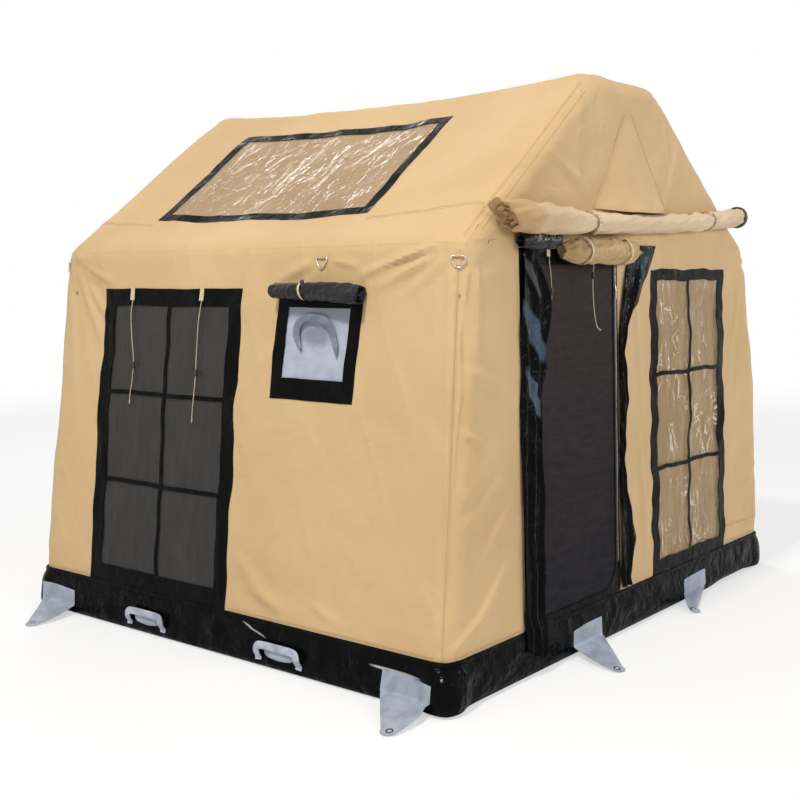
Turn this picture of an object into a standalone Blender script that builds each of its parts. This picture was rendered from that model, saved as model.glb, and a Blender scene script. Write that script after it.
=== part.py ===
"""An inflatable cabin tent: an air-beam frame under a sewn cover, with windows, a door and a stove port.

The frame has +Z up and its origin on the ground, in the middle of the floor. The door is in the end
at -Y, and the side at -X carries the large window and the stove port. All lengths are in metres.

The cover follows a house shape of flat planes whose edges are rounded over the air beams. Every
sewn piece is laid out as points on those planes and seated on them by skin(), at a height above or
below the outer face of the cover, so pieces on one plane stay in layers and pieces on two planes
meet at their seam.
"""

import itertools
import math

import bmesh
import bpy
import numpy as np

# House shape
TENT_WIDTH = 3.02
TENT_LENGTH = 2.60
SKIRT_HEIGHT = 0.20
EAVE_HEIGHT = 1.79
RIDGE_HEIGHT = 2.545
SIDE_LEAN = 0.20
FRONT_LEAN = 0.046
GABLE_LEAN = 0.038
RIDGE_FLAT = 0.59
RIDGE_SAG = 0.045
SAG_KNOTS = (-0.66, -0.3, 0.1, 0.45, 0.85)
SAG_FROM_SHARE = 0.053
SAG_FULL_SHARE = 0.152
ROOF_RISE = RIDGE_HEIGHT - EAVE_HEIGHT
SAG_FROM = EAVE_HEIGHT + ROOF_RISE * SAG_FROM_SHARE
SAG_FULL = EAVE_HEIGHT + ROOF_RISE * SAG_FULL_SHARE

# Clearances
GAP = 0.0003
PANEL_INSET = 0.0004
OVERRUN = 0.02

# Air beams
BEAM_RADIUS = 0.085
BEAM_SLACK = 0.0033
BEAM_BEND = 0.13
BASE_BEND = 0.10

# Cloth thicknesses
COVER_CLOTH = 0.003
TRIM_CLOTH = 0.002
PANE_SHEET = 0.002
FLOOR_SHEET = 0.003
EDGE_ROUND = BEAM_RADIUS + BEAM_SLACK + COVER_CLOTH
SEAM_LAP = 0.015

# Skirt round the base beam
SKIRT_BULGE = 0.012
SKIRT_TOP_DROP = 0.035
SKIRT_FLAT_LOW = 0.032
SKIRT_FOOT = 0.008
SKIRT_TUCK = 0.014
SKIRT_TURN = 0.032

# Large window in the side, two panes wide and three high
SIDE_WINDOW_FRONT = -0.072
SIDE_WINDOW_REAR = 0.892
SIDE_WINDOW_DROP = 0.184
SIDE_WINDOW_TOP = EAVE_HEIGHT - SIDE_WINDOW_DROP
SIDE_WINDOW_BAND = 0.08
SIDE_WINDOW_SILL = 0.08
WINDOW_BAR = 0.02
WINDOW_COLUMNS = 2
WINDOW_ROWS = 3

# Large window in the front end
FRONT_WINDOW_LEFT = 0.175
FRONT_WINDOW_RIGHT = 1.004
FRONT_WINDOW_DROP = 0.112
FRONT_WINDOW_TOP = EAVE_HEIGHT - FRONT_WINDOW_DROP
FRONT_WINDOW_BAND = 0.07
FRONT_WINDOW_HEAD = 0.055
FRONT_WINDOW_SILL = 0.065
CURTAIN_LAP = 0.02
CURTAIN_FOLD = 0.022
CURTAIN_FOLDS = 5
CURTAIN_HEM = 0.05
CURTAIN_ROW_SHARES = (0.0, 0.25, 0.5, 0.75)

# Skylight in the roof
SKYLIGHT_FRONT = -0.58
SKYLIGHT_REAR = 0.785
SKYLIGHT_LOW_SHARE = 0.2225
SKYLIGHT_HIGH_SHARE = 0.834
SKYLIGHT_LOW = EAVE_HEIGHT + ROOF_RISE * SKYLIGHT_LOW_SHARE
SKYLIGHT_HIGH = EAVE_HEIGHT + ROOF_RISE * SKYLIGHT_HIGH_SHARE
SKYLIGHT_BAND = 0.042

# Stove port in the side
PORT_FRONT = -0.726
PORT_REAR = -0.26
PORT_TALL = 0.448
PORT_DROP = 0.18
PORT_HIGH = EAVE_HEIGHT - PORT_DROP
PORT_LOW = PORT_HIGH - PORT_TALL
PORT_BAND = 0.062
PORT_SILL = 0.09
PORT_ROLL_RADIUS = 0.036
PORT_ROLL_FRONT = -0.771
PORT_ROLL_REAR = -0.272
PORT_ROLL_DROP = 0.03
PORT_ROLL_Z = PORT_HIGH - PORT_ROLL_DROP
PORT_ARCH_WIDTH = 0.20
PORT_ARCH_RISE = 0.165
PORT_ARCH_BAND = 0.03
PORT_ARCH_STAND = 0.158
PORT_ARCH_Z = PORT_LOW + PORT_ARCH_STAND
PORT_ARCH_DEPTH = 0.012
PORT_PINCH_SHARE = 0.9

# Doorway in the front end
DOOR_LEFT = -0.952
DOOR_RIGHT = -0.15
DOOR_DROP = 0.025
DOOR_TOP = EAVE_HEIGHT - DOOR_DROP
MESH_LEFT = -0.80
MESH_RIGHT = -0.19
MESH_STAND = 0.028
MESH_LOW = SKIRT_HEIGHT + MESH_STAND
MESH_DROP = 0.09
MESH_HIGH = EAVE_HEIGHT - MESH_DROP
MESH_CORNER = 0.12
MESH_LAP = 0.012
MESH_SHEET = 0.003

# Loose flaps beside the doorway
FLAP_DROP = 0.002
FLAP_TOP = EAVE_HEIGHT - FLAP_DROP
FLAP_FOLD = 0.016
LEFT_FLAP_OUTER = -0.945
LEFT_FLAP_INNER = -0.80
LEFT_FLAP_POINT = 0.065
LEFT_FLAP_HEM = 0.12
RIGHT_FLAP_LEFT = 0.045
RIGHT_FLAP_RIGHT = 0.262
RIGHT_FLAP_NECK_DROP = 0.43
RIGHT_FLAP_NECK_Z = EAVE_HEIGHT - RIGHT_FLAP_NECK_DROP
RIGHT_FLAP_STRIP_LEFT = -0.146
RIGHT_FLAP_STRIP_RIGHT = -0.04
RIGHT_FLAP_STAND = 0.015
RIGHT_FLAP_LOW = SKIRT_HEIGHT + RIGHT_FLAP_STAND
LEFT_FLAP_WAVES = 1.5
RIGHT_FLAP_WAVES = 1.0
FLAP_TAPER = 0.02
FLAP_HUNG_SHARE = 0.9
FLAP_PAST_HEIGHT = 0.05
FLAP_ROW_SHARES = (0.0, 0.06, 0.12, 0.25, 0.4, 0.55, 0.7, 0.82, 0.92, 1.0)
FLAP_COLUMN_SHARES = (0.0, 0.17, 0.34, 0.5, 0.66, 0.83, 1.0)

# Storm door, rolled up above the doorway
ROLL_RADIUS = 0.058
ROLL_LEFT = -1.12
ROLL_RIGHT = 1.08
ROLL_STAND = 0.095
ROLL_Z = EAVE_HEIGHT + ROLL_STAND
ROLL_DIP = 0.02
ROLL_RISE = 0.06
ROLL_SHARES = (0.0, 0.06, 0.14, 0.24, 0.289, 0.305, 0.36, 0.48, 0.60, 0.72, 0.83, 0.846, 0.92, 1.0)
ROLL_SWELL_SHARES = (1.12, 1.18, 1.16, 1.03, 0.88, 0.88, 0.9, 0.84, 0.8, 0.86, 0.84, 0.84, 0.94, 0.96)
ROLL_TIE_SPOTS = (4, 10)
CURTAIN_ROLL_RADIUS = 0.052
CURTAIN_ROLL_LEFT = -0.68
CURTAIN_ROLL_RIGHT = -0.11
CURTAIN_ROLL_DROP = 0.035
CURTAIN_ROLL_Z = EAVE_HEIGHT - CURTAIN_ROLL_DROP
CURTAIN_SHARES = (0.0, 0.1, 0.25, 0.42, 0.6, 0.8, 1.0)
CURTAIN_SWELL_SHARES = (0.78, 0.9, 1.0, 0.96, 1.02, 1.0, 0.8)

# Webbing
WEBBING_WIDTH = 0.025
WEBBING_THICKNESS = 0.0016
PORT_TIE_Y = -0.39
WINDOW_TIE_REAR = 0.68
WINDOW_TIE_FRONT = 0.185
WINDOW_TIE_DROP = 0.004
WINDOW_TIE_TOP = SIDE_WINDOW_TOP - WINDOW_TIE_DROP
WINDOW_TIE_LENGTH = 0.046
WINDOW_TIE_LOW = WINDOW_TIE_TOP - WINDOW_TIE_LENGTH
DOOR_TIE_X = -0.733
DOOR_TIE_DROP = 0.005
DOOR_TIE_TOP = DOOR_TOP - DOOR_TIE_DROP
DOOR_TIE_LENGTH = 0.025
DOOR_TIE_LOW = DOOR_TIE_TOP - DOOR_TIE_LENGTH

# Vent under a hood in the gable
VENT_TOP_SHARE = 0.795
VENT_TOP = EAVE_HEIGHT + ROOF_RISE * VENT_TOP_SHARE
VENT_STAND = 0.06
VENT_LOW = ROLL_Z + VENT_STAND
VENT_HALF_WIDTH = 0.35
VENT_PEAK_WIDTH = 0.03
VENT_BULGE = 0.05
VENT_HOLE_SHARES = (0.714, 0.112)
VENT_NET_SHARES = (0.83, 0.067)
VENT_ROW_SHARES = (0.0, 0.12, 0.35, 0.6, 0.82, 1.0)
VENT_COLUMN_SHARES = (-1.0, -0.66, -0.33, 0.0, 0.33, 0.66, 1.0)

# Anchor tabs on the skirt
TAB_SIDE_INSET = 0.19
TAB_SIDE_Y = TENT_LENGTH / 2 - TAB_SIDE_INSET
TAB_FRONT_X = (-0.47, 0.62)
TAB_WIDTH = 0.25
TAB_TOP = 0.125
TAB_FOLD = 0.046
TAB_REACH = 0.27
TAB_LEAN = -0.11
TAB_FRONT_REACHES = (0.27, 0.15)
TAB_FRONT_LEANS = (-0.16, -0.25)
TAB_TIP_RADIUS = 0.036
TAB_SHEET = 0.003
TAB_RELIEF = 0.006
EYELET_RADIUS = 0.011
EYELET_SIDES = 8
TAB_SEAT = SKIRT_BULGE + GAP
TAB_PATCH_SHARES = (-1.0, -0.6, 0.0, 0.6, 1.0)
TAB_SHOULDER_SHARE = 0.9
TAB_WAIST_SHARE = 0.2
TIP_START = math.radians(10)

# Grab handles on the skirt
HANDLE_Y = 0.43
HANDLE_WIDTH = 0.27
HANDLE_TOP = 0.118
HANDLE_LIFT = 0.020
HANDLE_BAND = 0.026
HANDLE_THICKNESS = 0.008
HANDLE_LEG_SHARES = ((0.0, 0.0), (0.2, 0.0), (0.45, 0.7), (0.72, 1.0))
HANDLE_CORNER = 0.03
HANDLE_BEND_SHARE = 0.7
HANDLE_BEND_RISE_SHARE = 0.93

# Tie rings under the eaves
RING_DEPTH = 0.057
RING_Z = EAVE_HEIGHT - RING_DEPTH
RING_END_INSET = 0.08
RING_END_Y = TENT_LENGTH / 2 - RING_END_INSET
RING_MID_Y = -0.53
RING_WIDTH = 0.058
RING_DROP = 0.044
RING_WIRE = 0.0027
RING_SIDES = 6
RING_LOOP_WIDTH = 0.026
RING_LOOP_WALL = 0.0018
RING_PLAY = 0.0005
RING_PATCH_WIDTH = 0.06
RING_PATCH_HEIGHT = 0.07
PATCH_SINK = 0.0025
# Half a ring's outline, as shares of its width and drop
RING_SHARES = ((0.42, 0.0), (0.5, 0.16), (0.42, 0.42), (0.2, 0.86))

# Valves on the legs of the front arch
VALVE_Z = 0.55
VALVE_RADIUS = 0.024
VALVE_STAND = 0.018
VALVE_ROOT = 0.02
VALVE_CAP_RADIUS = 0.02
VALVE_CAP_THICKNESS = 0.008
VALVE_CAP_GRIP = 0.004
CAP_GRIP_SHARE = 0.7

# Zip slider beside the mesh door
SLIDER_X = -0.17
SLIDER_DROP = 0.19
SLIDER_Z = EAVE_HEIGHT - SLIDER_DROP
SLIDER_WIDTH = 0.012
SLIDER_LENGTH = 0.022
SLIDER_PULL = 0.032
SLIDER_THICKNESS = 0.005

# Cords that tie the rolled windows and doors
CORD_DIAMETER = 0.004
LOCK_RADIUS = 0.008
LOCK_SIDE = (1.0, 1.0, 0.0)
# Each route's points: across or along its wall, drop below the eave, height off the wall
WINDOW_CORD_REAR = (
    (0.68, 0.2344, 0.0045), (0.681, 0.26, 0.0075), (0.68, 0.31, 0.010),
    (0.664, 0.41, 0.0105), (0.645, 0.49, 0.0115), (0.637, 0.531, 0.0125),
    (0.636, 0.561, 0.0125), (0.64, 0.62, 0.0105), (0.65, 0.68, 0.0085),
    (0.651, 0.73, 0.0075),
)
WINDOW_CORD_FRONT = (
    (0.185, 0.2344, 0.0045), (0.185, 0.26, 0.0075), (0.188, 0.33, 0.010),
    (0.192, 0.42, 0.0105), (0.191, 0.5, 0.0115), (0.186, 0.548, 0.0125),
    (0.185, 0.578, 0.0125), (0.189, 0.65, 0.0105), (0.198, 0.73, 0.0085),
    (0.20, 0.79, 0.0075),
)
DOOR_CORD_RIGHT = (
    (-0.442, 0.0837, 0.0510), (-0.444, 0.1, 0.0506), (-0.447, 0.125, 0.0499),
    (-0.449, 0.155, 0.0491), (-0.449, 0.19, 0.0482), (-0.444, 0.24, 0.047),
    (-0.434, 0.3, 0.0454), (-0.416, 0.35, 0.0441), (-0.395, 0.37, 0.0436),
    (-0.375, 0.377, 0.0434),
)
DOOR_CORD_LEFT = (
    (-0.733, 0.0553, 0.0045), (-0.734, 0.08, 0.0075), (-0.732, 0.11, 0.0105),
    (-0.728, 0.15, 0.0115), (-0.726, 0.188, 0.012), (-0.726, 0.218, 0.012),
    (-0.728, 0.24, 0.0115), (-0.732, 0.26, 0.0105),
)
LOCK_SPANS = (5, 5, 2, 4)
CORD_STEPS = 2

# Facets
BEAM_SIDES = 12
ROLL_SIDES = 12
BEND_STEPS = 3
ROLL_FLAT_SHARE = math.cos(math.pi / ROLL_SIDES)
CORNER_STEPS = 4
ARCH_STEPS = 8
TIP_STEPS = 5
FOLD_STEPS = 4
LOOP_SIDES = 8
LOCK_SIDES = 8
BAND_SHARES = (0.0, 0.27, 0.58, 1.0)
MID_SHARES = (-0.35, 0.0, 0.35)
FACET_ANGLE = math.radians(35)


# House shape and the seating of cloth on it

def unit(vector):
    return np.asarray(vector, dtype=float) / np.linalg.norm(vector)


def half_width(z):
    """Half the width of the house planes at a height."""
    rise_share = (z - EAVE_HEIGHT) / ROOF_RISE
    wall = TENT_WIDTH / 2 - SIDE_LEAN * z / EAVE_HEIGHT
    eave = TENT_WIDTH / 2 - SIDE_LEAN
    roof = eave + (RIDGE_FLAT / 2 - eave) * rise_share
    return wall if z <= EAVE_HEIGHT else roof


def half_length(z):
    """Half the length of the house planes at a height."""
    rise_share = (z - EAVE_HEIGHT) / ROOF_RISE
    wall = TENT_LENGTH / 2 - FRONT_LEAN * z / EAVE_HEIGHT
    gable = TENT_LENGTH / 2 - FRONT_LEAN - GABLE_LEAN * rise_share
    return wall if z <= EAVE_HEIGHT else gable


def plane(first, second, along):
    """The outward normal and offset of the plane through two points and one direction."""
    normal = np.cross(np.subtract(second, first), along)
    normal /= np.linalg.norm(normal)
    offset = normal @ first
    return (normal, offset) if offset > 0 else (-normal, -offset)


def house_planes():
    """All planes of the house shape but the ground, as normals and offsets."""
    found = [(np.array((0.0, 0.0, 1.0)), RIDGE_HEIGHT)]
    across = (1.0, 0.0, 0.0)
    along = (0.0, 1.0, 0.0)
    for low, high in ((0.0, EAVE_HEIGHT), (EAVE_HEIGHT, RIDGE_HEIGHT)):
        for sign in (-1, 1):
            side_low = (sign * half_width(low), 0.0, low)
            side_high = (sign * half_width(high), 0.0, high)
            found.append(plane(side_low, side_high, along))
            end_low = (0.0, sign * half_length(low), low)
            end_high = (0.0, sign * half_length(high), high)
            found.append(plane(end_low, end_high, across))
    return np.array([normal for normal, _ in found]), np.array([offset for _, offset in found])


NORMALS, OFFSETS = house_planes()
CORE_OFFSETS = OFFSETS - EDGE_ROUND


def core_points(points):
    """The nearest points of the core, which is the house shape drawn in by the edge rounding."""
    best = np.full(points.shape, np.nan)
    reach = np.full(len(points), np.inf)
    for count in (1, 2, 3):
        for group in itertools.combinations(range(len(NORMALS)), count):
            normals = NORMALS[list(group)]
            gram = normals @ normals.T
            if np.linalg.det(gram) < PANEL_INSET:
                continue
            excess = points @ normals.T - CORE_OFFSETS[list(group)]
            moved = points - excess @ np.linalg.inv(gram) @ normals
            inside = (moved @ NORMALS.T <= CORE_OFFSETS + PANEL_INSET ** 2).all(axis=1)
            distance = np.linalg.norm(points - moved, axis=1)
            nearer = inside & (distance < reach)
            best[nearer] = moved[nearer]
            reach[nearer] = distance[nearer]
    return best


def sag(y, z):
    """How far the roof hangs down between the arches, in flat strips between its knots."""
    reach = half_length(RIDGE_HEIGHT) - EDGE_ROUND
    knots = np.array((-reach, *SAG_KNOTS, reach))
    depth = np.interp(y, knots, RIDGE_SAG * (1 - (knots / reach) ** 2))
    return depth * np.clip((z - SAG_FROM) / (SAG_FULL - SAG_FROM), 0, 1)


def skin(points, height=0.0):
    """Points of the house planes, seated on the rounded cover at a height above its outer face."""
    points = np.asarray(points, dtype=float)
    flat = points.reshape(-1, 3)
    core = core_points(flat)
    out = flat - core
    out /= np.linalg.norm(out, axis=1, keepdims=True)
    heights = np.broadcast_to(height, points.shape[:-1]).reshape(-1, 1)
    seated = core + out * (EDGE_ROUND + heights)
    seated[:, 2] -= sag(seated[:, 1], seated[:, 2])
    return seated.reshape(points.shape)


def side_face(sign):
    """The wall and roof slope of one side: along the tent, then height."""
    return lambda y, z: (sign * half_width(z), y, z)


def end_face(sign):
    """The wall and gable of one end: across the tent, then height."""
    return lambda x, z: (x, sign * half_length(z), z)


def upward(face, level):
    """The way up a face in the middle of the tent, at a height."""
    return unit(skin(face(0.0, level + OVERRUN)) - skin(face(0.0, level - OVERRUN)))


LEFT = side_face(-1)
RIGHT = side_face(1)
FRONT = end_face(-1)
REAR = end_face(1)


# Meshes

def material(name, colour, roughness, metallic=0.0):
    made = bpy.data.materials.new(name)
    made.use_nodes = True
    shader = made.node_tree.nodes["Principled BSDF"]
    shader.inputs["Base Color"].default_value = (*colour, 1.0)
    shader.inputs["Roughness"].default_value = roughness
    shader.inputs["Metallic"].default_value = metallic
    return made


def add_mesh(name, mesh_builder, look, parent=None):
    """One object from a filled bmesh, smooth but for its sharp edges, with its faces outward."""
    bmesh.ops.recalc_face_normals(mesh_builder, faces=mesh_builder.faces)
    mesh = bpy.data.meshes.new(name)
    mesh_builder.to_mesh(mesh)
    mesh_builder.free()
    mesh.shade_smooth()
    mesh.set_sharp_from_angle(angle=FACET_ANGLE)
    mesh.materials.append(look)
    made = bpy.data.objects.new(name, mesh)
    bpy.context.scene.collection.objects.link(made)
    if parent:
        mesh.transform(parent.matrix_basis.inverted())
        made.parent = parent
    return made


def add_pivot(name, place):
    """An empty on a joint's axis, which carries the piece that moves."""
    pivot = bpy.data.objects.new(name, None)
    pivot.location = place
    bpy.context.scene.collection.objects.link(pivot)
    return pivot


def fill_slab(builder, outer, inner, skip=()):
    """A sheet between two grids of points, without the grid cells in skip."""
    corners = {}

    def corner(layer, row, column):
        key = (layer, row, column)
        if key not in corners:
            corners[key] = builder.verts.new((outer, inner)[layer][row, column])
        return corners[key]

    rows, columns = outer.shape[:2]
    cells = set(itertools.product(range(rows - 1), range(columns - 1))) - set(skip)
    for row, column in sorted(cells):
        ring = ((row, column), (row, column + 1), (row + 1, column + 1), (row + 1, column))
        builder.faces.new([corner(0, *place) for place in ring])
        builder.faces.new([corner(1, *ring[index]) for index in (0, 3, 2, 1)])
        beside = ((row - 1, column), (row, column + 1), (row + 1, column), (row, column - 1))
        for index, cell in enumerate(beside):
            if cell not in cells:
                first = ring[index]
                second = ring[(index + 1) % len(ring)]
                rim = (corner(0, *second), corner(0, *first), corner(1, *first), corner(1, *second))
                builder.faces.new(rim)


def fill_loft(builder, rings, closed=False):
    """Faces between rings of as many points each, with flat ends unless the loft is closed."""
    layers = [[builder.verts.new(point) for point in ring] for ring in rings]
    pairs = list(zip(layers, layers[1:]))
    if closed:
        pairs.append((layers[-1], layers[0]))
    for one, other in pairs:
        for index in range(len(one)):
            after = (index + 1) % len(one)
            builder.faces.new((one[index], one[after], other[after], other[index]))
    if not closed:
        builder.faces.new(layers[0])
        builder.faces.new(reversed(layers[-1]))


def fill_prism(builder, low, high):
    """A flat plate between two outlines of as many points each."""
    fill_loft(builder, (low, high))


def sweep_rings(path, section, side, closed=False):
    """Copies of a section along a path, mitred at each bend. The section's first axis is side."""
    path = [np.asarray(point, dtype=float) for point in path]
    last = len(path) - 1
    rings = []
    for index, point in enumerate(path):
        before = unit(point - path[index - 1]) if index or closed else None
        after = unit(path[(index + 1) % len(path)] - point) if index < last or closed else None
        before = after if before is None else before
        after = before if after is None else after
        ahead = unit(before + after)
        first = unit(side - ahead * (ahead @ side))
        second = np.cross(ahead, first) / (ahead @ after)
        shape = section(index) if callable(section) else section
        rings.append([point + first * a + second * b for a, b in shape])
    return rings


def circle(radius, sides, turn_share=0.5):
    """Points of a circle whose flats, not corners, face the two axes when turn_share is a half."""
    turns = [(index + turn_share) * math.tau / sides for index in range(sides)]
    return [(radius * math.cos(turn), radius * math.sin(turn)) for turn in turns]


def bent(path, radius, steps, closed=False):
    """A path with each of its corners rounded."""
    path = [np.asarray(point, dtype=float) for point in path]
    rounded = [] if closed else [path[0]]
    corners = range(len(path)) if closed else range(1, len(path) - 1)
    for index in corners:
        point = path[index]
        back = unit(path[index - 1] - point)
        on = unit(path[(index + 1) % len(path)] - point)
        turn = math.pi - math.acos(back @ on)
        reach = radius * math.tan(turn / 2)
        centre = point + unit(back + on) * radius / math.cos(turn / 2)
        start = point + back * reach - centre
        finish = point + on * reach - centre
        for step in range(steps + 1):
            share = step / steps
            weight = math.sin(turn)
            arm = start * math.sin(turn * (1 - share)) + finish * math.sin(turn * share)
            rounded.append(centre + arm / weight)
    return rounded if closed else [*rounded, path[-1]]


def add_sweep(name, path, section, side, look, closed=False):
    builder = bmesh.new()
    fill_loft(builder, sweep_rings(path, section, side, closed), closed)
    return add_mesh(name, builder, look)


def combine(target, other, operation="DIFFERENCE"):
    """Takes a closed shape out of another, or joins it on, and hides the shape that was used."""
    other.hide_render = True
    other.display_type = "WIRE"
    boolean = target.modifiers.new(other.name, "BOOLEAN")
    boolean.operation = operation
    boolean.solver = "EXACT"
    boolean.object = other


# Lines of the panel grids

def fixed(value):
    return lambda level: value


def edge_lines(half, sign, spread=1.0):
    """Grid lines over the rounded edge of a panel, from its seam inwards."""
    insets = [PANEL_INSET + share * EDGE_ROUND * spread for share in BAND_SHARES]
    lines = [lambda level, inset=inset: sign * (half(level) - inset) for inset in insets]
    return lines if sign < 0 else lines[::-1]


def end_lines(places):
    """Grid lines across an end: upright on its wall, and drawn in with the slopes of its gable."""
    slope = math.hypot(half_width(EAVE_HEIGHT) - RIDGE_FLAT / 2, RIDGE_HEIGHT - EAVE_HEIGHT)
    spread = slope / ROOF_RISE

    def inset(level, share):
        return PANEL_INSET + share * EDGE_ROUND * (spread if level > EAVE_HEIGHT else 1)

    def edge(sign, share):
        return lambda level: sign * (half_width(level) - inset(level, share))

    def middle(place):
        full = half_width(EAVE_HEIGHT) - inset(EAVE_HEIGHT, 1)
        taper = place / full
        return lambda level: place if level <= EAVE_HEIGHT else taper * (half_width(level) - inset(level, 1))

    left = [edge(-1, share) for share in BAND_SHARES]
    right = [edge(1, share) for share in reversed(BAND_SHARES)]
    return left + [middle(place) for place in places] + right


def up_to(level, spread=1.0):
    """Grid rows that close in on a seam from below."""
    return [level - PANEL_INSET - share * EDGE_ROUND * spread for share in reversed(BAND_SHARES)]


def on_from(level, spread=1.0):
    """Grid rows that lead away from a seam upwards."""
    return [level + PANEL_INSET + share * EDGE_ROUND * spread for share in BAND_SHARES]


def pane_lines(low, high, first, last, panes):
    """Lines of a window frame: its two bands and the bars between its panes."""
    clear = high - last - low - first
    pane = (clear - (panes - 1) * WINDOW_BAR) / panes
    lines = [low]
    for index in range(panes):
        start = low + first + index * (pane + WINDOW_BAR)
        lines += [start, start + pane]
    return [*lines, high]


def fill_panel(builder, face, lines, rows, low, high, skip=()):
    """A sheet on one face of the house, between two heights off the cover's outer face."""
    lines = [line if callable(line) else fixed(line) for line in lines]
    spots = [[(line(row), row) for line in lines] for row in rows]
    points = np.array([[face(across, row) for across, row in level] for level in spots])

    def heights(value):
        if not callable(value):
            return value
        return np.array([[value(across, row) for across, row in level] for level in spots])

    fill_slab(builder, skin(points, heights(high)), skin(points, heights(low)), skip)


def add_panel(name, face, lines, rows, low, high, look, skip=(), parent=None):
    builder = bmesh.new()
    fill_panel(builder, face, lines, rows, low, high, skip)
    return add_mesh(name, builder, look, parent)


def add_plate(name, face, outline, low, high, look, parent=None):
    """A flat sheet of any outline on one face of the house."""
    points = np.array([face(across, level) for across, level in outline])
    builder = bmesh.new()
    fill_prism(builder, skin(points, low), skin(points, high))
    return add_mesh(name, builder, look, parent)


def cells_between(lines, rows, left, right, low, high):
    """Grid cells of a panel inside an opening, whose edges are among the lines and rows."""
    across = range(lines.index(left), lines.index(right))
    return set(itertools.product(range(rows.index(low), rows.index(high)), across))


# Frame of air beams

BEAM_LOW = FLOOR_SHEET + GAP
BASE_Z = BEAM_LOW + BEAM_RADIUS


def meet(*facing):
    """The point where three planes of the core meet. Each is picked by the direction that it faces."""
    picked = [int(np.argmax(NORMALS @ unit(direction))) for direction in facing]
    return np.linalg.solve(NORMALS[picked], CORE_OFFSETS[picked])


SLOPE_UP = (half_width(EAVE_HEIGHT) - RIDGE_FLAT / 2) / ROOF_RISE


def arch_path(end):
    """Centre line of the arch at one end: leg, rafter, flat top, rafter and leg."""
    end_wall = (0.0, end, 0.0)
    gable = (0.0, end, GABLE_LEAN / ROOF_RISE)
    half = []
    for side in (-1, 1):
        wall = (side, 0.0, 0.0)
        roof = (side, 0.0, SLOPE_UP)
        eave = meet(wall, end_wall, roof)
        ridge = meet(gable, roof, (0.0, 0.0, 1.0))
        down = np.array((side * SIDE_LEAN, end * FRONT_LEAN, -EAVE_HEIGHT)) / EAVE_HEIGHT
        half.append([eave + down * (eave[2] - BASE_Z), eave, ridge])
    left, right = half
    return bent([*left, *reversed(right)], BEAM_BEND, BEND_STEPS)


def beam_section(extra=0.0):
    return circle(BEAM_RADIUS + extra, BEAM_SIDES)


def add_frame(looks):
    """The inflated beams, cut to saddle on one another."""
    along = np.array((0.0, 1.0, 0.0))
    up = np.array((0.0, 0.0, 1.0))
    feet = [arch_path(-1)[0], arch_path(-1)[-1], arch_path(1)[-1], arch_path(1)[0]]
    ring = bent(feet, BASE_BEND, BEND_STEPS, closed=True)
    add_sweep("base_beam", ring, beam_section(), up, looks["beam"], closed=True)
    base_cutter = add_sweep("base_cutter", ring, beam_section(GAP), up, looks["beam"], closed=True)
    cutters = []
    arches = []
    for end, name in ((-1, "front_arch"), (1, "rear_arch")):
        arch = add_sweep(f"{name}_beam", arch_path(end), beam_section(), along, looks["beam"])
        combine(arch, base_cutter)
        arches.append(arch)
        cutters.append(add_sweep(f"{name}_cutter", arch_path(end), beam_section(GAP), along, looks["beam"]))
    for side, name in ((-1, "left"), (1, "right")):
        ends = [meet((side, 0.0, 0.0), (0.0, end, 0.0), (side, 0.0, SLOPE_UP)) for end in (-1, 1)]
        beam = add_sweep(f"eave_beam_{name}", ends, beam_section(), up, looks["beam"])
        for cutter in cutters:
            combine(beam, cutter)
    top = RIDGE_HEIGHT - EDGE_ROUND
    reach = half_length(RIDGE_HEIGHT) - EDGE_ROUND
    line = [(0.0, y, top - sag(y, RIDGE_HEIGHT)) for y in (-reach, *SAG_KNOTS, reach)]
    ridge = add_sweep("ridge_beam", line, beam_section(), np.array((1.0, 0.0, 0.0)), looks["beam"])
    for cutter in cutters:
        combine(ridge, cutter)
    return arches[0]


# Floor and skirt

def perimeter(level):
    """Points all the way round the walls, closer together over the rounded corners."""
    insets = [share * EDGE_ROUND for share in BAND_SHARES]

    def run(half):
        outer = [-half + inset for inset in insets]
        return outer + [share * half for share in MID_SHARES] + [-value for value in outer[:0:-1]]

    wide = half_width(level)
    long = half_length(level)
    front = [(x, -long, level) for x in run(wide)]
    right = [(wide, y, level) for y in run(long)]
    rear = [(-x, long, level) for x in run(wide)]
    left = [(-wide, -y, level) for y in run(long)]
    return np.array(front + right + rear + left)


def ground_ring(level, height):
    """A level loop round the tent, close to the ground, at a height off the cover's outer face."""
    ring = skin(perimeter(level), height)
    ring[:, 2] = level
    return ring


def add_floor(looks):
    """The skirt, whose lower edge turns in under the base beam, and the groundsheet inside it."""
    top = SKIRT_HEIGHT - GAP
    outside = (
        (top, 0.0),
        (top - SKIRT_TOP_DROP, SKIRT_BULGE),
        (SKIRT_FLAT_LOW, SKIRT_BULGE),
        (SKIRT_FOOT, 0.0),
    )
    under = (
        (0.0, -SKIRT_TUCK),
        (0.0, -SKIRT_TURN),
        (FLOOR_SHEET, -SKIRT_TURN),
        (FLOOR_SHEET, -SKIRT_TUCK),
    )
    inside = (
        (SKIRT_FOOT + FLOOR_SHEET / 2, -COVER_CLOTH),
        (SKIRT_FLAT_LOW, SKIRT_BULGE - COVER_CLOTH),
        (top - SKIRT_TOP_DROP, SKIRT_BULGE - COVER_CLOTH),
        (top, -COVER_CLOTH),
    )
    rings = [skin(perimeter(level), height) for level, height in outside]
    rings += [ground_ring(level, height) for level, height in under]
    rings += [skin(perimeter(level), height) for level, height in inside]
    builder = bmesh.new()
    fill_loft(builder, rings, closed=True)
    skirt = add_mesh("ground_skirt", builder, looks["skirt"])
    edge = ground_ring(FLOOR_SHEET, -SKIRT_TURN - GAP)
    builder = bmesh.new()
    fill_prism(builder, edge - np.array((0.0, 0.0, FLOOR_SHEET)), edge)
    add_mesh("groundsheet", builder, looks["floor"])
    return skirt


# Cover panels

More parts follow.
